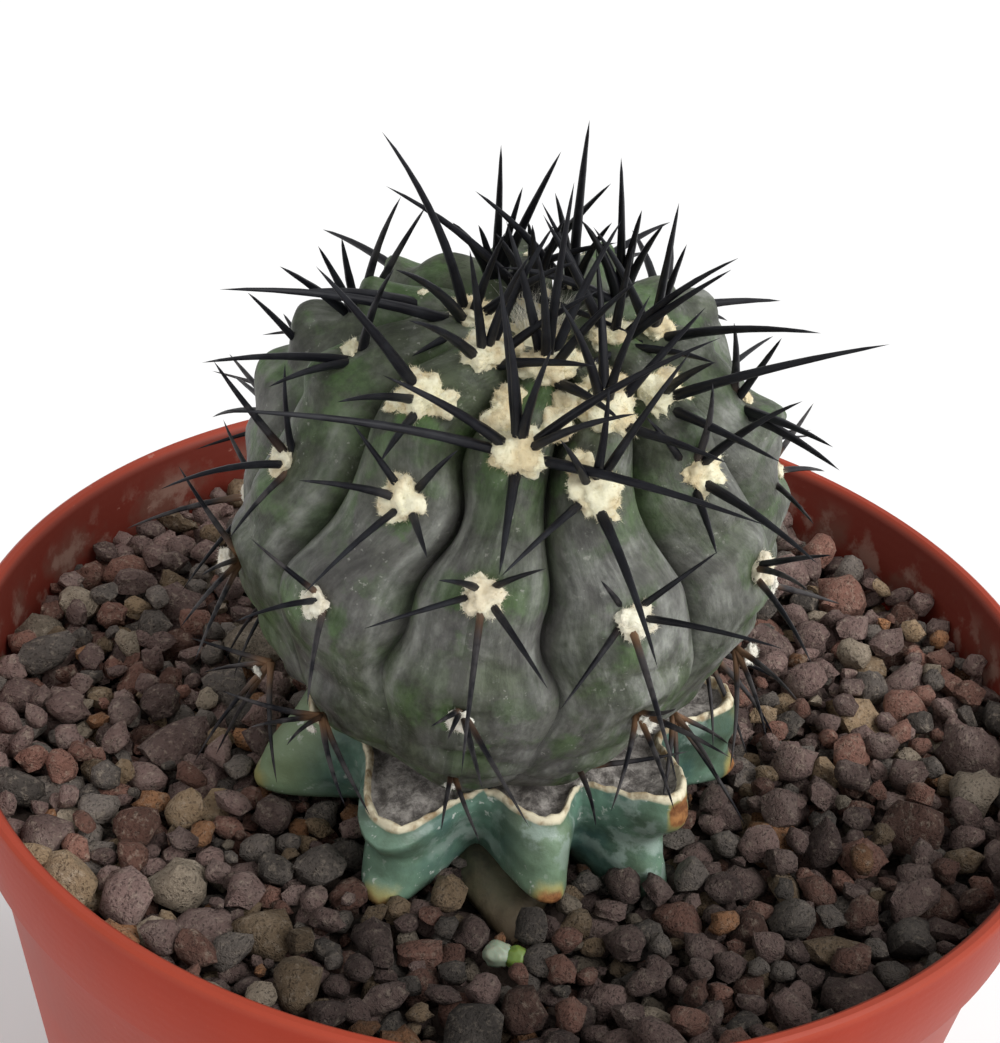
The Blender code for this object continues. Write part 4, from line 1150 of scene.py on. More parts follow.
def skin_points(turns, arcs, sizes, fine=True):
    """Points of the stem's skin. Turns count ribs round the stem, and arcs are distances from the crown."""
    turns, arcs = np.atleast_1d(np.asarray(turns, float)), np.atleast_1d(np.asarray(arcs, float))
    ribs = np.round(turns).astype(int)
    across = 2 * (turns - ribs)
    side = np.where(across > 0, 1, -1)
    here, beside = by_rib(swell, ribs, arcs), by_rib(swell, ribs + side, arcs)
    sway = sizes.groove_sway * (here - beside) * np.minimum(1, arcs / CROWN_REACH)
    crest_here, crest_beside = by_rib(crest_azimuth, ribs, arcs), by_rib(crest_azimuth, ribs + side, arcs)
    way = np.abs(across) * (0.5 + sway)
    if fine:
        grooves = np.minimum(ribs, ribs + side)
        wander = by_rib(groove_wander, grooves, arcs) * smooth_step(arcs, 0.010, 0.020)
        way = way + side * np.abs(across) ** 4 * wander
    azimuth = crest_here + way * (crest_beside - crest_here)
    point, along = crest(arcs)
    rib_form = np.maximum(0, 1 - np.abs(across) ** RIB_ROUNDNESS[0]) ** RIB_ROUNDNESS[1]
    depth = np.interp(arcs, *zip(*GROOVE_DEPTHS))
    raised = sizes.swell_rise * here * (1 - across**2) - depth * (1 - rib_form)
    if fine:
        relief = by_rib(lambda rib, arc, aside: tubercles(rib, arc, aside, sizes), ribs, arcs, across)
        raised = raised + relief * (1 - across**2)
        for side_turn in sizes.tucked_sides:
            tuck = np.maximum(0, np.cos(azimuth - side_turn)) ** 3 * smooth_step(arcs, 0.038, 0.052)
            raised = raised - sizes.tuck * tuck
        fold = arcs - sizes.fold_at - 0.0009 * np.sin(azimuth * 5) - 0.0006 * np.sin(azimuth * 11 + 2)
        raised = raised - sizes.fold_depth * bell(fold, 0.0005)
    radius = np.maximum(0, point[0] - along[1] * raised)
    height = np.maximum(0, point[1] + along[0] * raised)
    x = radius * np.cos(azimuth) + height * math.tan(LEAN)
    return np.column_stack([x, radius * np.sin(azimuth), height]) + np.array(SCION_FOOT), across


def near_areole(rib, arc):
    """How near a place on a rib is to an areole, or to the skin just below it."""
    return sum(bell(arc - (at + 1.5) * MM, 0.0042) for at, _ in RIB_AREOLES[rib % RIBS])


# How much closer the stem's columns lie near its grooves
GROOVE_CROWDING = 1.35
DEEPEST_GROOVE = 0.0046
# The stem's middle above its foot, and how far its skin wobbles in and out from there
SCION_MIDDLE = 0.020
WOBBLE, FINE_WOBBLE = 0.00026, 0.00007


def scion_body(sizes):
    """The ribbed stem, with more columns near its grooves than on its crests."""
    columns, rows = RIBS * sizes.columns_a_rib, sizes.rows + 1
    obj = globe("scion_body", columns, rows)
    column, row = globe_places(obj, columns, rows)
    turn = column / sizes.columns_a_rib
    rib = np.round(turn)
    across = 2 * (turn - rib)
    crowded = 1 - (1 - np.abs(across)) ** GROOVE_CROWDING
    turn = rib + np.sign(across) * crowded / 2
    arc = np.minimum(1, row / sizes.rows) * CREST_LENGTH
    places, across = skin_points(turn, arc, sizes)
    wobble = np.array([noise.noise(Vector(p) * 130) for p in places])
    fine_wobble = np.array([noise.noise(Vector(p) * 420) for p in places])
    away = places - (np.array(SCION_FOOT) + (0, 0, SCION_MIDDLE))
    away /= np.linalg.norm(away, axis=1)[:, None]
    places += away * (WOBBLE * wobble + FINE_WOBBLE * fine_wobble)[:, None]
    places[row > sizes.rows] = SCION_FOOT
    move_points(obj, places)
    depth = np.interp(arc, *zip(*GROOVE_DEPTHS)) / DEEPEST_GROOVE
    vertex_values(obj, "groove", np.abs(across) ** 3 * np.clip(depth, 0, 1))
    near = np.clip(by_rib(near_areole, rib.astype(int), arc), 0, 1)
    vertex_values(obj, "near_areole", near * (1 - 0.6 * across**2))
    vertex_values(obj, "drop", arc / CREST_LENGTH)
    ring = np.interp(arc, CREST_ARCS, CREST_POINTS[:, 0])
    vertex_vectors(obj, "skin", np.column_stack([rib * 0.5 + across * ring * RIB_STEP / 2, arc, rib * 0.11]))
    return obj


class Areole:
    """A place on the stem where wool and spines grow, with the directions that they are set out by."""

    def __init__(self, rib, row, arc, sizes):
        azimuth = float(crest_azimuth(rib, arc))
        _, along = crest(arc)
        self.arc, self.place, self.seed = arc, (rib, row), 100 * rib + row
        self.root = Vector(skin_points([rib], [arc], sizes, fine=False)[0][0])
        self.outward = Vector((-along[1] * math.cos(azimuth), -along[1] * math.sin(azimuth), along[0]))
        self.upward = -Vector((along[0] * math.cos(azimuth), along[0] * math.sin(azimuth), along[1]))
        self.sideways = self.upward.cross(self.outward)
        self.age = float(smooth_step(arc, 0.020, 0.052))


def areoles(sizes):
    """Every areole down the ribs, then the woolly centre of the crown, which has no spines yet."""
    places = [(rib, row, at) for rib, marks in enumerate(RIB_AREOLES) for row, (at, _) in enumerate(marks)]
    return [*(Areole(rib, row, at * MM, sizes) for rib, row, at in places), Areole(0, -1, 0.0, sizes)]


# Spines


def blocked(point):
    """True where a spine would touch the gravel, the pot or the rootstock."""
    if point.xy.length > POT_BORE - 2 * CLEARANCE or point.z < GRAVEL_TOP + CLEARANCE:
        return True
    if point.z > CUT_RIM_TOP + CLEARANCE:
        return False
    compass = math.atan2(point.x - ROOT_CENTRE.x, ROOT_CENTRE.y - point.y)
    return (point.xy - ROOT_CENTRE).length < root_radius(compass, min(point.z, ROOT_TOP)) + CLEARANCE


def spine_points(areole, heading, length, bow, shares):
    """Points along a spine at these shares of its length. It is sunk in the areole and bows up and out."""
    root = areole.root - areole.outward * SPINE_SINK
    tip = areole.root + heading * length
    lift = areole.outward + Vector((0, 0, 1))
    lift -= heading * lift.dot(heading)
    lift = lift.normalized() * (bow * length)
    return [root.lerp(tip, share) + lift * (4 * share * (1 - share)) for share in shares]


def lifted_clear(areole, heading, length, bow):
    """The heading, turned up and outwards until the spine is clear of what lies below it."""
    away = Vector((areole.outward.x, areole.outward.y, 0)).normalized() + Vector((0, 0, 0.9))
    checked = [share / 12 for share in range(2, 13)]
    for _ in range(40):
        if not any(blocked(point) for point in spine_points(areole, heading, length, bow, checked)):
            break
        heading = (heading + 0.06 * away).normalized()
    return heading


def headings(areole, rng):
    """The areole's spines as (heading, length): those that the photograph shows, or else a fan."""
    found = []
    for compass, rise, length in [*SEEN_SPINES.get(areole.place, []), *CROWN_SPINES.get(areole.place, [])]:
        level, turn = math.cos(math.radians(rise)), math.radians(compass)
        heading = Vector((level * math.cos(turn), level * math.sin(turn), math.sin(math.radians(rise))))
        found.append((heading, length * MM))
    if found:
        return found
    longest = between(SPINE_LENGTHS, areole.arc)
    spread = between(SPINE_SPREADS, areole.arc)
    highest = between(FAN_RISES, areole.arc)
    for compass, tilt, share in SPINE_FAN:
        turn = math.radians(compass + rng.uniform(-14, 14))
        lean = math.radians(tilt * spread + rng.uniform(-8, 8))
        aside = areole.upward * math.cos(turn) + areole.sideways * math.sin(turn)
        heading = areole.outward * math.cos(lean) + aside * math.sin(lean)
        length = longest * share * rng.uniform(0.84, 1.08)
        apart = all(heading.angle(other) > SPINE_APART for other, _ in found)
        if apart and heading.z < highest and len(found) < SPINES_AN_AREOLE:
            found.append((heading, length))
    return found


def tapered(share):
    """A spine's width at a share of its length: a small swelling at the root, then a long taper."""
    return 1.06 * (1 - share) ** 0.60 * (1 + 0.25 * math.exp(-((share / 0.045) ** 2)))


def spine_faces(start, rings, sides):
    """The faces of a spine whose points start at a number: its sides, its tip and its root."""
    following = [*range(1, sides), 0]
    faces = []
    for low in range(start, start + (rings - 1) * sides, sides):
        faces += [(low + i, low + j, low + j + sides, low + i + sides) for i, j in enumerate(following)]
    last = start + (rings - 1) * sides
    faces += [(last + i, last + j, last + sides) for i, j in enumerate(following)]
    return [*faces, tuple(start + i for i in reversed(range(sides)))]


def spine_meshes(sizes, skin_sizes):
    """All spines as one mesh: points, faces, and each point's place along the spine, its age and its horn."""
    points, faces, along, ages, horn = [], [], [], [], []
    shares = [i / sizes.rings for i in range(sizes.rings)]
    turns = [2 * math.pi * i / sizes.sides for i in range(sizes.sides)]
    for areole in areoles(skin_sizes)[:-1]:
        rng = random.Random(areole.seed)
        older = SIDE_AGES.get(areole.place[0], 0) * smooth_step(areole.arc, 0.016, 0.024)
        for number, (heading, length) in enumerate(headings(areole, rng)):
            bow = SPINE_BOW * rng.uniform(0.3, 1.2)
            heading = lifted_clear(areole, heading, length, bow)
            width = between(SPINE_WIDTHS, areole.arc) * rng.uniform(0.86, 1.06)
            line = spine_points(areole, heading, length, bow, [*shares, 1.0])
            age = min(1, max(0, areole.age + older + 0.35 * math.sin(9 * areole.seed + 5 * number)))
            across = heading.orthogonal().normalized()
            faces += spine_faces(len(points), sizes.rings, sizes.sides)
            for k, share in enumerate(shares):
                ahead = (line[k + 1] - line[max(0, k - 1)]).normalized()
                side = (across - ahead * across.dot(ahead)).normalized()
                over = ahead.cross(side)
                radius = width / 2 * tapered(share) * (1 + 0.04 * math.sin(37 * share + number))
                for turn in turns:
                    x, y = math.cos(turn), math.sin(turn)
                    points.append(line[k] + radius * (1 - 0.12 * y**2) * (side * x + over * y))
                    horn.append((x * 0.5 * width, y * 0.5 * width + number * 0.01, share * length))
                    along.append(share)
            points.append(line[-1])
            horn.append((0, number * 0.01, length))
            along.append(1.0)
            ages += [age] * (len(points) - len(ages))
    return points, faces, along, ages, horn


# Wool


CROWN_WOOL_RADIUS = 0.0032
# The first and last rib behind, and down to where and how much smaller their young cushions are
BACK_RIBS = (3, 8)
BACK_WOOL_TO = 0.036
BACK_WOOL_SHARE = 0.42
# Cushions that the photograph shows larger or smaller than the rule makes them
WOOL_MARKS = {(6, 0): 0.0016, (3, 0): 0.0018, (9, 1): 0.0012, (9, 2): 0.0015, (8, 0): 0.0005, (7, 1): 0.0006}
# Tufts beside the areoles, where wool runs up along a groove: rib, mm from the crown, mm aside, radius in mm
SIDE_TUFTS = [
    (0, 17.4, -2.0, 1.9), (0, 15.0, -2.5, 1.6), (0, 17.0, 2.2, 1.8), (0, 14.6, 2.8, 1.6),
    (1, 21.4, -1.0, 1.9), (1, 25.0, 0.9, 1.5), (10, 18.6, -1.4, 1.6), (10, 17.2, 2.0, 1.6),
    (2, 18.2, 0.0, 1.7), (0, 9.0, 1.5, 2.0), (1, 13.5, 0.8, 2.1), (10, 8.6, 0.0, 2.0),
]
TUFT_SINK = 0.0005
# The first tuft's row, which is far past those of the areoles
TUFT_ROWS = 90
# The crown's silky tuft: the radius of its patch, and how far up in the wool it starts
SILK_RADIUS = 0.0026
SILK_START = 0.0018


def behind(areole):
    return BACK_RIBS[0] <= areole.place[0] <= BACK_RIBS[1]


def wool_spots(sizes):
    """Every wool cushion's place, with its radius."""
    spots = areoles(sizes)
    for areole in spots:
        radius = between(WOOL_RADII, areole.arc) if areole.arc else CROWN_WOOL_RADIUS
        if behind(areole) and areole.arc < BACK_WOOL_TO:
            radius *= BACK_WOOL_SHARE
        areole.radius = WOOL_MARKS.get(areole.place, radius)
    for number, (rib, at, aside, radius) in enumerate(SIDE_TUFTS):
        tuft = Areole(rib, TUFT_ROWS + number, at * MM, sizes)
        tuft.root = tuft.root + tuft.sideways * (aside * MM) - tuft.outward * TUFT_SINK
        tuft.radius = radius * MM
        spots.append(tuft)
    return spots


def cushion_point(spot, p, wool_sizes):
    """Where a point of a unit ball lies on a cushion, which runs out in a few uneven lobes."""
    rng = random.Random(spot.seed + 7)
    lobes, phase, shift = rng.choice((3, 4, 5)), rng.uniform(0, 6.3), Vector((spot.seed * 1.7, 0, 0))
    turn = math.atan2(p.y, p.x)
    level = math.hypot(p.x, p.y)
    star = 1 + wool_sizes.star * level * math.cos(lobes * turn + phase + 0.8 * math.sin(turn))
    lump = 1 + 0.30 * noise.noise(p * 2.3 + shift) + 0.16 * noise.noise(p * 6.1 + shift)
    q = p * (spot.radius * star * lump)
    return spot.root + spot.sideways * q.x + spot.upward * q.y + spot.outward * (wool_sizes.height * q.z)


def wool_cushions(sizes, wool_sizes):
    """Lumpy cushions of felt, joined: points, faces and ages."""
    points, faces, ages = [], [], []
    unit, triangles = ball(4)
    for spot in wool_spots(sizes):
        faces += list(triangles + len(points))
        points += [cushion_point(spot, Vector(p), wool_sizes) for p in unit]
        ages += [spot.age] * len(unit)
    return points, faces, ages


def wool_hairs(sizes, wool_sizes):
    """Short fibres that stand out of the cushions, and a silky tuft at the crown: points, faces and ages."""
    points, faces, ages = [], [], []
    rng = random.Random(wool_sizes.seed)

    def scatter(spread):
        return Vector(rng.gauss(0, spread) for _ in range(3))

    def hair(root, heading, length, age):
        side = heading.orthogonal().normalized()
        side.rotate(Matrix.Rotation(rng.uniform(0, 6.28), 3, heading))
        droop = scatter(1) * (0.34 * length)
        start = len(points)
        for share, slim in ((0, 1), (0.55, 0.8)):
            place = root + heading * (length * share) + droop * share**2
            half = side * (wool_sizes.hair_width * slim / 2)
            points.extend((place - half, place + half))
        points.append(root + heading * length + droop)
        faces.extend(((start, start + 1, start + 3, start + 2), (start + 2, start + 3, start + 4)))
        ages.extend([age] * 5)

    for spot in wool_spots(sizes):
        density = wool_sizes.hairs_a_mm2 * (wool_sizes.hidden_share if behind(spot) else 1)
        for _ in range(int(density * (spot.radius / MM) ** 2 * math.pi)):
            p = scatter(1).normalized()
            p.z = abs(p.z) - 0.12
            place = cushion_point(spot, p.normalized(), wool_sizes)
            away = spot.sideways * p.x + spot.upward * p.y + spot.outward * (p.z / wool_sizes.height)
            heading = (away.normalized() + scatter(0.55)).normalized()
            reach = wool_sizes.hair_length * rng.uniform(0.5, 1.4)
            hair(place - away.normalized() * (0.15 * reach), heading, reach, spot.age)
    crown = areoles(sizes)[-1]
    for _ in range(wool_sizes.tuft_hairs):
        turn, reach = rng.uniform(0, 2 * math.pi), SILK_RADIUS * math.sqrt(rng.random())
        aside = crown.sideways * math.cos(turn) + crown.upward * math.sin(turn)
        heading = (crown.outward + aside * 0.25 + scatter(0.16)).normalized()
        length = wool_sizes.tuft_length * rng.uniform(0.6, 1.3)
        hair(crown.root + aside * reach + crown.outward * SILK_START, heading, length, 0.9)
    return points, faces, ages


# Sizes and colours that a user would change


def length(title, description, default):
    return FloatProperty(name=title, description=description, default=default, unit="LENGTH", precision=4)


def number(title, description, default):
    return FloatProperty(name=title, description=description, default=default)


def count(title, description, default, least=0):
    return IntProperty(name=title, description=description, default=default, min=least)


def colour(title, description, default):
    limits = {"subtype": "COLOR", "min": 0, "max": 1}
    return FloatVectorProperty(name=title, description=description, default=default, **limits)


class PotSizes(bpy.types.PropertyGroup):
    wall: length("Wall", "Thickness of the pot's wall", 0.0014)
    collar_height: length("Collar height", "Height of the collar under the rim", 0.0110)
    collar_step: length("Collar step", "How far the collar stands out from the wall", 0.0016)
    collar_flare: length("Collar flare", "How far the collar leans out up to the rim", 0.0011)
    bore_flare: length("Bore flare", "How far the inside of the collar leans out", 0.0007)
    foot_radius: length("Foot radius", "Outer radius at the pot's foot", 0.0420)
    foot_ring: length("Foot ring", "Width of the ring that the pot stands on", 0.0055)
    foot_recess: length("Foot recess", "How far the bottom lies above the foot ring", 0.0024)
    drain_holes: count("Drain holes", "Drain holes on the circle", 6)
    drain_radius: length("Drain radius", "Radius of a drain hole", 0.0040)
    drain_circle: length("Drain circle", "Radius of the circle of drain holes", 0.0240)
    steps: count("Steps", "Facets round the pot", 192, 12)
    plastic: colour("Plastic", "Colour of the pot", (0.330, 0.031, 0.011))


class StoneKind(bpy.types.PropertyGroup):
    share: number("Share", "Share of the stones that have this colour", 0.2)
    base: colour("Base", "Colour of these stones", (0.2, 0.2, 0.2))
    paler: colour("Paler", "Colour of their dusty sides", (0.3, 0.3, 0.3))


class GravelSizes(bpy.types.PropertyGroup):
    smallest: length("Smallest", "Smallest stone", 0.0013)
    fine: length("Fine", "Stones smaller than this one have few faces", 0.0020)
    usual: length("Usual", "Usual stone", 0.0025)
    largest: length("Largest", "Largest stone", 0.0064)
    spread: number("Spread", "How much the stones differ in size", 0.38)
    stones: count("Stones", "Most stones that are dropped", 9000)
    bed: length("Bed", "Height that the stones lie on", 0.0930)
    top: length("Top", "Height that the stones reach", 0.0996)
    squash: number("Squash", "How flat the stones lie on each other", 0.78)
    tries: count("Tries", "Spots tried for each stone", 12)
    give_up: count("Give up", "Stones that find no room before the bed is full", 160)
    shapes: count("Shapes", "Different shapes of stone", 24)
    seed: count("Seed", "Seed of the random places", 12)
    kinds: CollectionProperty(type=StoneKind)
    # Where no stone lies, so that the sprout and the foot lobe show: x, y, radius
    kept_clear = [(0.0020, -0.0386, 0.0012), (0.0012, -0.0290, 0.0036)]


class RootstockSizes(bpy.types.PropertyGroup):
    columns_a_lobe: count("Columns", "Columns of faces for each lobe", 26)
    side_rows: count("Rows", "Rows of faces down the side", 44)
    teal: colour("Skin", "Colour of the rootstock's skin", (0.130, 0.238, 0.180))
    # For each lobe: how much further out its cut corner lies, and how far that has dried and sunk
    lobe_corners = [
        (-0.0018, 0.0008), (0.0026, 0.0022), (0.0004, 0.0006), (0.0040, -0.0014),
        (0.0022, -0.0008), (0.0, 0.0), (0.0, 0.0), (0.0, 0.0),
    ]
    # For each lobe: how rusty its tip is, how pale its side is (partly painted light), how rusty its upper
    # corner is
    lobe_marks = [
        (0.45, 0.85, 0.0), (0.66, 0.20, 0.0), (0.80, 0.45, 0.0), (0.18, 0.25, 1.1),
        (0.80, 0.20, 0.2), (0.6, 0.3, 0.0), (0.5, 0.5, 0.0), (0.6, 0.2, 0.0),
    ]


class ScionSizes(bpy.types.PropertyGroup):
    columns_a_rib: count("Columns", "Columns of faces for each rib", 28)
    rows: count("Rows", "Rows of faces from crown to foot", 230)
    swell_rise: length("Swelling", "How far a rib swells at its areoles", 0.0010)
    groove_sway: number("Groove sway", "How far the grooves bend round the swellings", 0.05)
    notch: length("Notch", "Depth of the notch that holds an areole", 0.0007)
    lip: length("Lip", "Height of the lip over an areole", 0.0006)
    chin: length("Chin", "Height of the chin under an areole", 0.0006)
    hump: length("Hump", "Height of the humps that the side and back ribs have under the crown", 0.0028)
    crease: length("Crease", "Depth of the crease between two tubercles", 0.0003)
    fold_at: length("Fold place", "Distance of the low fold from the crown", 0.0570)
    fold_depth: length("Fold depth", "Depth of the low fold", 0.0004)
    tuck: length("Tuck", "How far the stem is drawn in low down on two sides", 0.0024)
    # Their directions, in radians from +X
    tucked_sides = (-0.25, -2.65)
    green: colour("Green", "Colour of the skin", (0.060, 0.074, 0.042))
    bloom: colour("Bloom", "Colour of the waxy bloom", (0.225, 0.232, 0.208))


class SpineSizes(bpy.types.PropertyGroup):
    sides: count("Sides", "Faces round a spine", 7)
    rings: count("Rings", "Rings of faces along a spine", 10)
    black: colour("Horn", "Colour of a young spine", (0.006, 0.006, 0.009))


class WoolSizes(bpy.types.PropertyGroup):
    height: number("Height", "A cushion's height as a share of its radius", 0.62)
    star: number("Star", "How far a cushion's edge runs out between the spines", 0.13)
    hairs_a_mm2: number("Fibres", "Fibres on a square millimetre", 120.0)
    hidden_share: number("Hidden", "Share of the fibres that the back ribs have", 0.4)
    hair_length: length("Fibre length", "Usual length of a fibre", 0.00030)
    hair_width: length("Fibre width", "Width of a fibre", 0.000035)
    tuft_hairs: count("Tuft", "Fibres in the crown's silky tuft", 420)
    tuft_length: length("Tuft length", "Length of the crown's silky tuft", 0.0030)
    seed: count("Seed", "Seed of the random fibres", 5)
    pale: colour("Pale", "Colour of the wool", (0.93, 0.89, 0.66))
    warm: colour("Warm", "Colour of the wool in its hollows", (0.80, 0.68, 0.43))


class StageSizes(bpy.types.PropertyGroup):
    floor: colour("Floor", "Colour of the floor", (0.98, 0.98, 0.98))
    sky: number("Sky", "Strength of the light from all round", 0.60)
    sun: number("Lamp", "Strength of the large soft lamp", 2.3)


GROUPS = {
    "copiapoa_pot": PotSizes,
    "copiapoa_gravel": GravelSizes,
    "copiapoa_rootstock": RootstockSizes,
    "copiapoa_scion": ScionSizes,
    "copiapoa_spines": SpineSizes,
    "copiapoa_wool": WoolSizes,
    "copiapoa_stage": StageSizes,
}

SOIL_COLOUR = (0.045, 0.030, 0.022)
DUST_COLOUR = (0.050, 0.036, 0.030)
# Name, share of the stones, colour, colour of the dusty side
STONE_COLOURS = [
    ("gravel_mauve", 0.44, (0.118, 0.078, 0.069), (0.200, 0.150, 0.132)),
    ("gravel_grey", 0.20, (0.092, 0.078, 0.068), (0.175, 0.150, 0.130)),
    ("gravel_brick", 0.18, (0.128, 0.064, 0.048), (0.185, 0.112, 0.088)),
    ("gravel_tan", 0.09, (0.165, 0.115, 0.070), (0.230, 0.175, 0.120)),
    ("gravel_pale", 0.05, (0.195, 0.158, 0.118), (0.310, 0.265, 0.210)),
    ("gravel_orange", 0.04, (0.190, 0.092, 0.045), (0.260, 0.150, 0.085)),
]


# The lamp's heading, and how wide it looks from the pot
LIGHT_HEADING = Vector((-0.72, 0.40, -0.74))
LIGHT_WIDTH = math.radians(42)
# The camera's place, and its yaw, pitch and roll in degrees
CAMERA_PLACE = (0, -0.20336, 0.24941)
CAMERA_TURNS = (-0.87, 32.07, 5.34)
# Its focal length in pixels of the photograph, the photograph's height in pixels, and a sensor in millimetres
FOCAL_PIXELS = 2285.7
PHOTO_HEIGHT = 1043
SENSOR = 36


def sizes_of(name):
    return getattr(bpy.context.scene, name)


# Operators


class COPIAPOA_OT_pot(bpy.types.Operator):
    """Model the plastic pot with its collar, foot ring and drain holes"""

    bl_idname = "copiapoa.pot"
    bl_label = "Pot"

    def execute(self, context):
        sizes = sizes_of("copiapoa_pot")
        pot = turn_profile("plastic_pot", pot_profile(sizes), sizes.steps)
        cut_away(pot, drain_cutters(sizes))
        bevel = pot.modifiers.new("edges", "BEVEL")
        bevel.width, bevel.segments, bevel.limit_method = EDGE_ROUNDING, 2, "ANGLE"
        bevel.angle_limit = math.radians(35)
        apply_modifiers(pot)
        only(pot)
        bpy.ops.object.shade_smooth_by_angle(angle=math.radians(32))
        finish_piece(pot, pot_plastic(tuple(sizes.plastic)), "pot")
        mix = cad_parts["potting_mix"]
        mix.data.materials.clear()
        mix.data.materials.append(soil("potting_mix_soil", SOIL_COLOUR))
        return {"FINISHED"}


class COPIAPOA_OT_gravel(bpy.types.Operator):
    """Lay the lava gravel: a rough bed, and loose stones joined by colour"""

    bl_idname = "copiapoa.gravel"
    bl_label = "Gravel"

    def execute(self, context):
        sizes, pot = sizes_of("copiapoa_gravel"), sizes_of("copiapoa_pot")
        reach = bore_radius(sizes.bed, pot) - BED_GAP
        deselect()
        bpy.ops.mesh.primitive_grid_add(x_subdivisions=90, y_subdivisions=90, size=2 * reach)
        bed = bpy.context.object
        bed.name = bed.data.name = "gravel_bed"
        for vert in bed.data.vertices:
            widest = max(abs(vert.co.x), abs(vert.co.y))
            if vert.co.xy.length > 0:
                vert.co.xy *= widest / vert.co.xy.length
            vert.co.z = sizes.bed + BED_ROUGHNESS * noise.noise(vert.co * 700)
        only(bed)
        bpy.ops.object.shade_smooth()
        finish_piece(bed, soil("gravel_bed_dust", DUST_COLOUR), "gravel")
        kinds = {kind.name: kind for kind in sizes.kinds}
        for name, (points, faces, tones) in gravel_stones(sizes, pot, kinds).items():
            stones = new_mesh_object(name, points, faces)
            vertex_values(stones, "tone", tones)
            only(stones)
            bpy.ops.object.shade_smooth_by_angle(angle=math.radians(52))
            kind = kinds[name]
            material = lava_stone(name + "_stone", tuple(kind.base), tuple(kind.paler))
            finish_piece(stones, material, "gravel")
        return {"FINISHED"}


class COPIAPOA_OT_rootstock(bpy.types.Operator):
    """Model the lobed rootstock, its foot lobe and its sprout"""

    bl_idname = "copiapoa.rootstock"
    bl_label = "Rootstock"

    def execute(self, context):
        sizes = sizes_of("copiapoa_rootstock")
        skin = rootstock_skin(tuple(sizes.teal))
        finish_piece(rootstock_mesh(sizes), skin, "rootstock")
        finish_piece(foot_lobe_mesh(), foot_skin(), "rootstock")
        finish_piece(sprout_mesh(), sprout_skin(), "rootstock")
        return {"FINISHED"}


class COPIAPOA_OT_scion(bpy.types.Operator):
    """Model the scion's ribbed body"""

    bl_idname = "copiapoa.scion"
    bl_label = "Scion"

    def execute(self, context):
        sizes = sizes_of("copiapoa_scion")
        skin = scion_skin(tuple(sizes.green), tuple(sizes.bloom))
        finish_piece(scion_body(sizes), skin, "scion")
        return {"FINISHED"}


class COPIAPOA_OT_spines(bpy.types.Operator):
    """Grow the spines from every areole"""

    bl_idname = "copiapoa.spines"
    bl_label = "Spines"

    def execute(self, context):
        sizes = sizes_of("copiapoa_spines")
        points, faces, along, ages, horn = spine_meshes(sizes, sizes_of("copiapoa_scion"))
        spines = new_mesh_object("scion_spines", points, faces)
        vertex_values(spines, "along", along)
        vertex_values(spines, "age", ages)
        vertex_vectors(spines, "horn", horn)
        finish_piece(spines, spine_horn(tuple(sizes.black)), "scion")
        return {"FINISHED"}


class COPIAPOA_OT_wool(bpy.types.Operator):
    """Grow the areoles' wool cushions and their fibres"""

    bl_idname = "copiapoa.wool"
    bl_label = "Wool"

    def execute(self, context):
        sizes, skin_sizes = sizes_of("copiapoa_wool"), sizes_of("copiapoa_scion")
        felt = wool("wool_felt", tuple(sizes.pale), tuple(sizes.warm))
        for name, (points, faces, ages) in (
            ("scion_wool_cushions", wool_cushions(skin_sizes, sizes)),
            ("scion_wool_fibres", wool_hairs(skin_sizes, sizes)),
        ):
            piece = new_mesh_object(name, points, faces)
            vertex_values(piece, "age", ages)
            finish_piece(piece, felt, "scion")
        return {"FINISHED"}


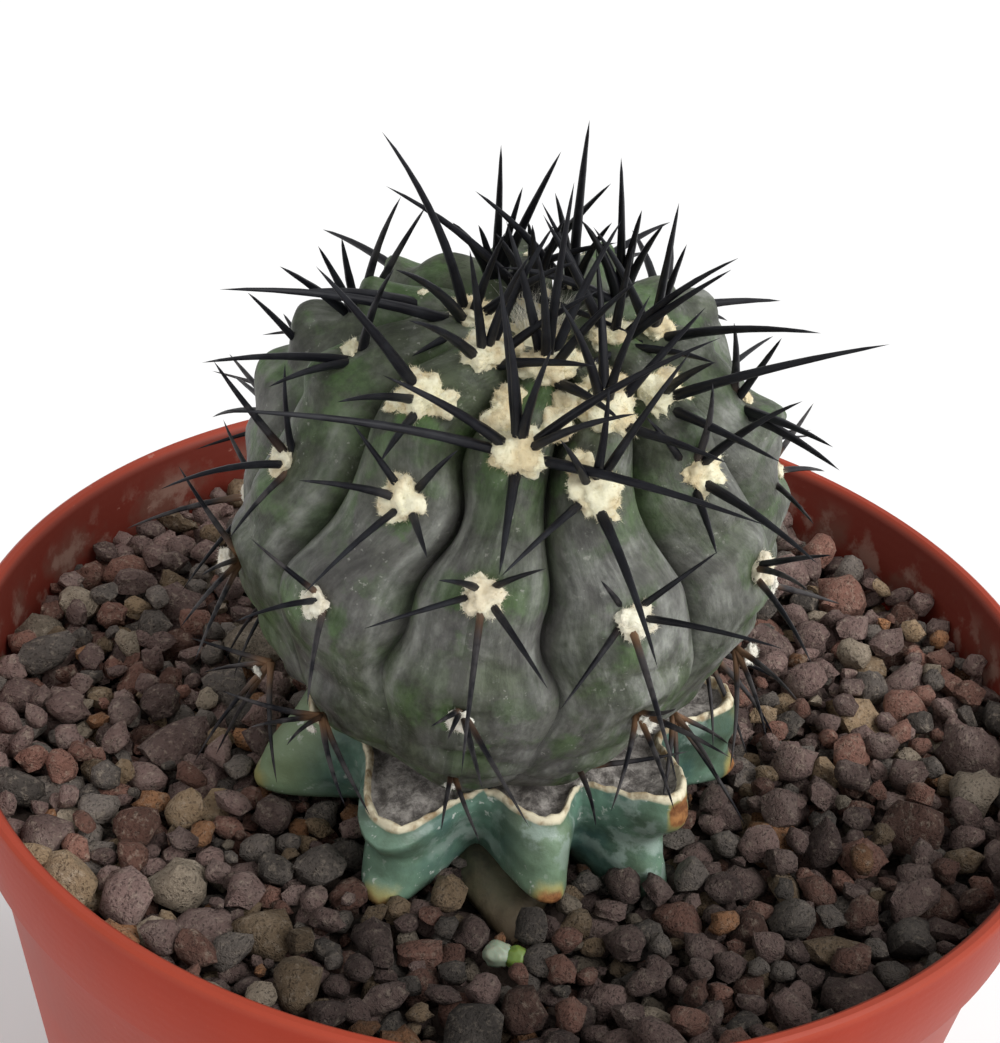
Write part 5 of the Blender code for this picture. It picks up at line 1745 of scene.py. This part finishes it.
class COPIAPOA_OT_stage(bpy.types.Operator):
    """Set the pale floor, the soft light and the camera"""

    bl_idname = "copiapoa.stage"
    bl_label = "Stage"

    def execute(self, context):
        sizes = sizes_of("copiapoa_stage")
        scene = context.scene
        deselect()
        bpy.ops.mesh.primitive_plane_add(size=12)
        floor = bpy.context.object
        floor.name = "pale_floor"
        material, _ = new_material("pale_floor")
        shader_of(material, Base_Color=tuple(sizes.floor), Roughness=0.7, Specular_IOR_Level=0.2)
        floor.data.materials.append(material)
        world = bpy.data.worlds.new("studio")
        world.use_nodes = True
        background = next(node for node in world.node_tree.nodes if node.type == "BACKGROUND")
        background.inputs["Color"].default_value = (1.0, 1.0, 1.0, 1.0)
        background.inputs["Strength"].default_value = sizes.sky
        scene.world = world
        lamp = bpy.data.lights.new("soft_lamp", "SUN")
        lamp.energy, lamp.angle = sizes.sun, LIGHT_WIDTH
        soft_lamp = bpy.data.objects.new("soft_lamp", lamp)
        soft_lamp.rotation_euler = LIGHT_HEADING.to_track_quat("-Z", "Y").to_euler()
        scene.collection.objects.link(soft_lamp)
        scene.view_settings.view_transform = "Standard"
        self.add_camera(scene)
        return {"FINISHED"}

    def add_camera(self, scene):
        """The photograph's camera, from its place, its lens and its turns."""
        yaw, pitch, roll = (math.radians(turn) for turn in CAMERA_TURNS)
        ahead = Vector((math.sin(yaw) * math.cos(pitch), math.cos(yaw) * math.cos(pitch), -math.sin(pitch)))
        level = ahead.cross(Vector((0, 0, 1))).normalized()
        upright = level.cross(ahead)
        right = math.cos(roll) * level + math.sin(roll) * upright
        up = math.cos(roll) * upright - math.sin(roll) * level
        lens = bpy.data.cameras.new("photo_camera")
        lens.sensor_width, lens.clip_start = SENSOR, 0.001
        lens.lens = FOCAL_PIXELS * SENSOR / PHOTO_HEIGHT
        camera = bpy.data.objects.new("photo_camera", lens)
        turned = Matrix((right, up, -ahead)).transposed().to_4x4()
        camera.matrix_world = Matrix.Translation(CAMERA_PLACE) @ turned
        scene.collection.objects.link(camera)
        scene.camera = camera


OPERATORS = (
    COPIAPOA_OT_stage,
    COPIAPOA_OT_pot,
    COPIAPOA_OT_gravel,
    COPIAPOA_OT_rootstock,
    COPIAPOA_OT_scion,
    COPIAPOA_OT_spines,
    COPIAPOA_OT_wool,
)


class COPIAPOA_PT_panel(bpy.types.Panel):
    """Lists the pieces of the potted copiapoa"""

    bl_idname = "COPIAPOA_PT_panel"
    bl_label = "Potted copiapoa"
    bl_space_type = "VIEW_3D"
    bl_region_type = "UI"
    bl_category = "Copiapoa"

    def draw(self, context):
        for operator in OPERATORS:
            self.layout.operator(operator.bl_idname)


CLASSES = (StoneKind, *GROUPS.values(), *OPERATORS, COPIAPOA_PT_panel)


def register():
    for cls in CLASSES:
        bpy.utils.register_class(cls)
    for name, group in GROUPS.items():
        setattr(bpy.types.Scene, name, PointerProperty(type=group))


def unregister():
    for name in GROUPS:
        delattr(bpy.types.Scene, name)
    for cls in reversed(CLASSES):
        bpy.utils.unregister_class(cls)


def main():
    register()
    for name, share, base, paler in STONE_COLOURS:
        kind = sizes_of("copiapoa_gravel").kinds.add()
        kind.name, kind.share, kind.base, kind.paler = name, share, base, paler
    for operator in OPERATORS:
        group, name = operator.bl_idname.split(".")
        getattr(getattr(bpy.ops, group), name)()


if __name__ == "__main__":
    main()
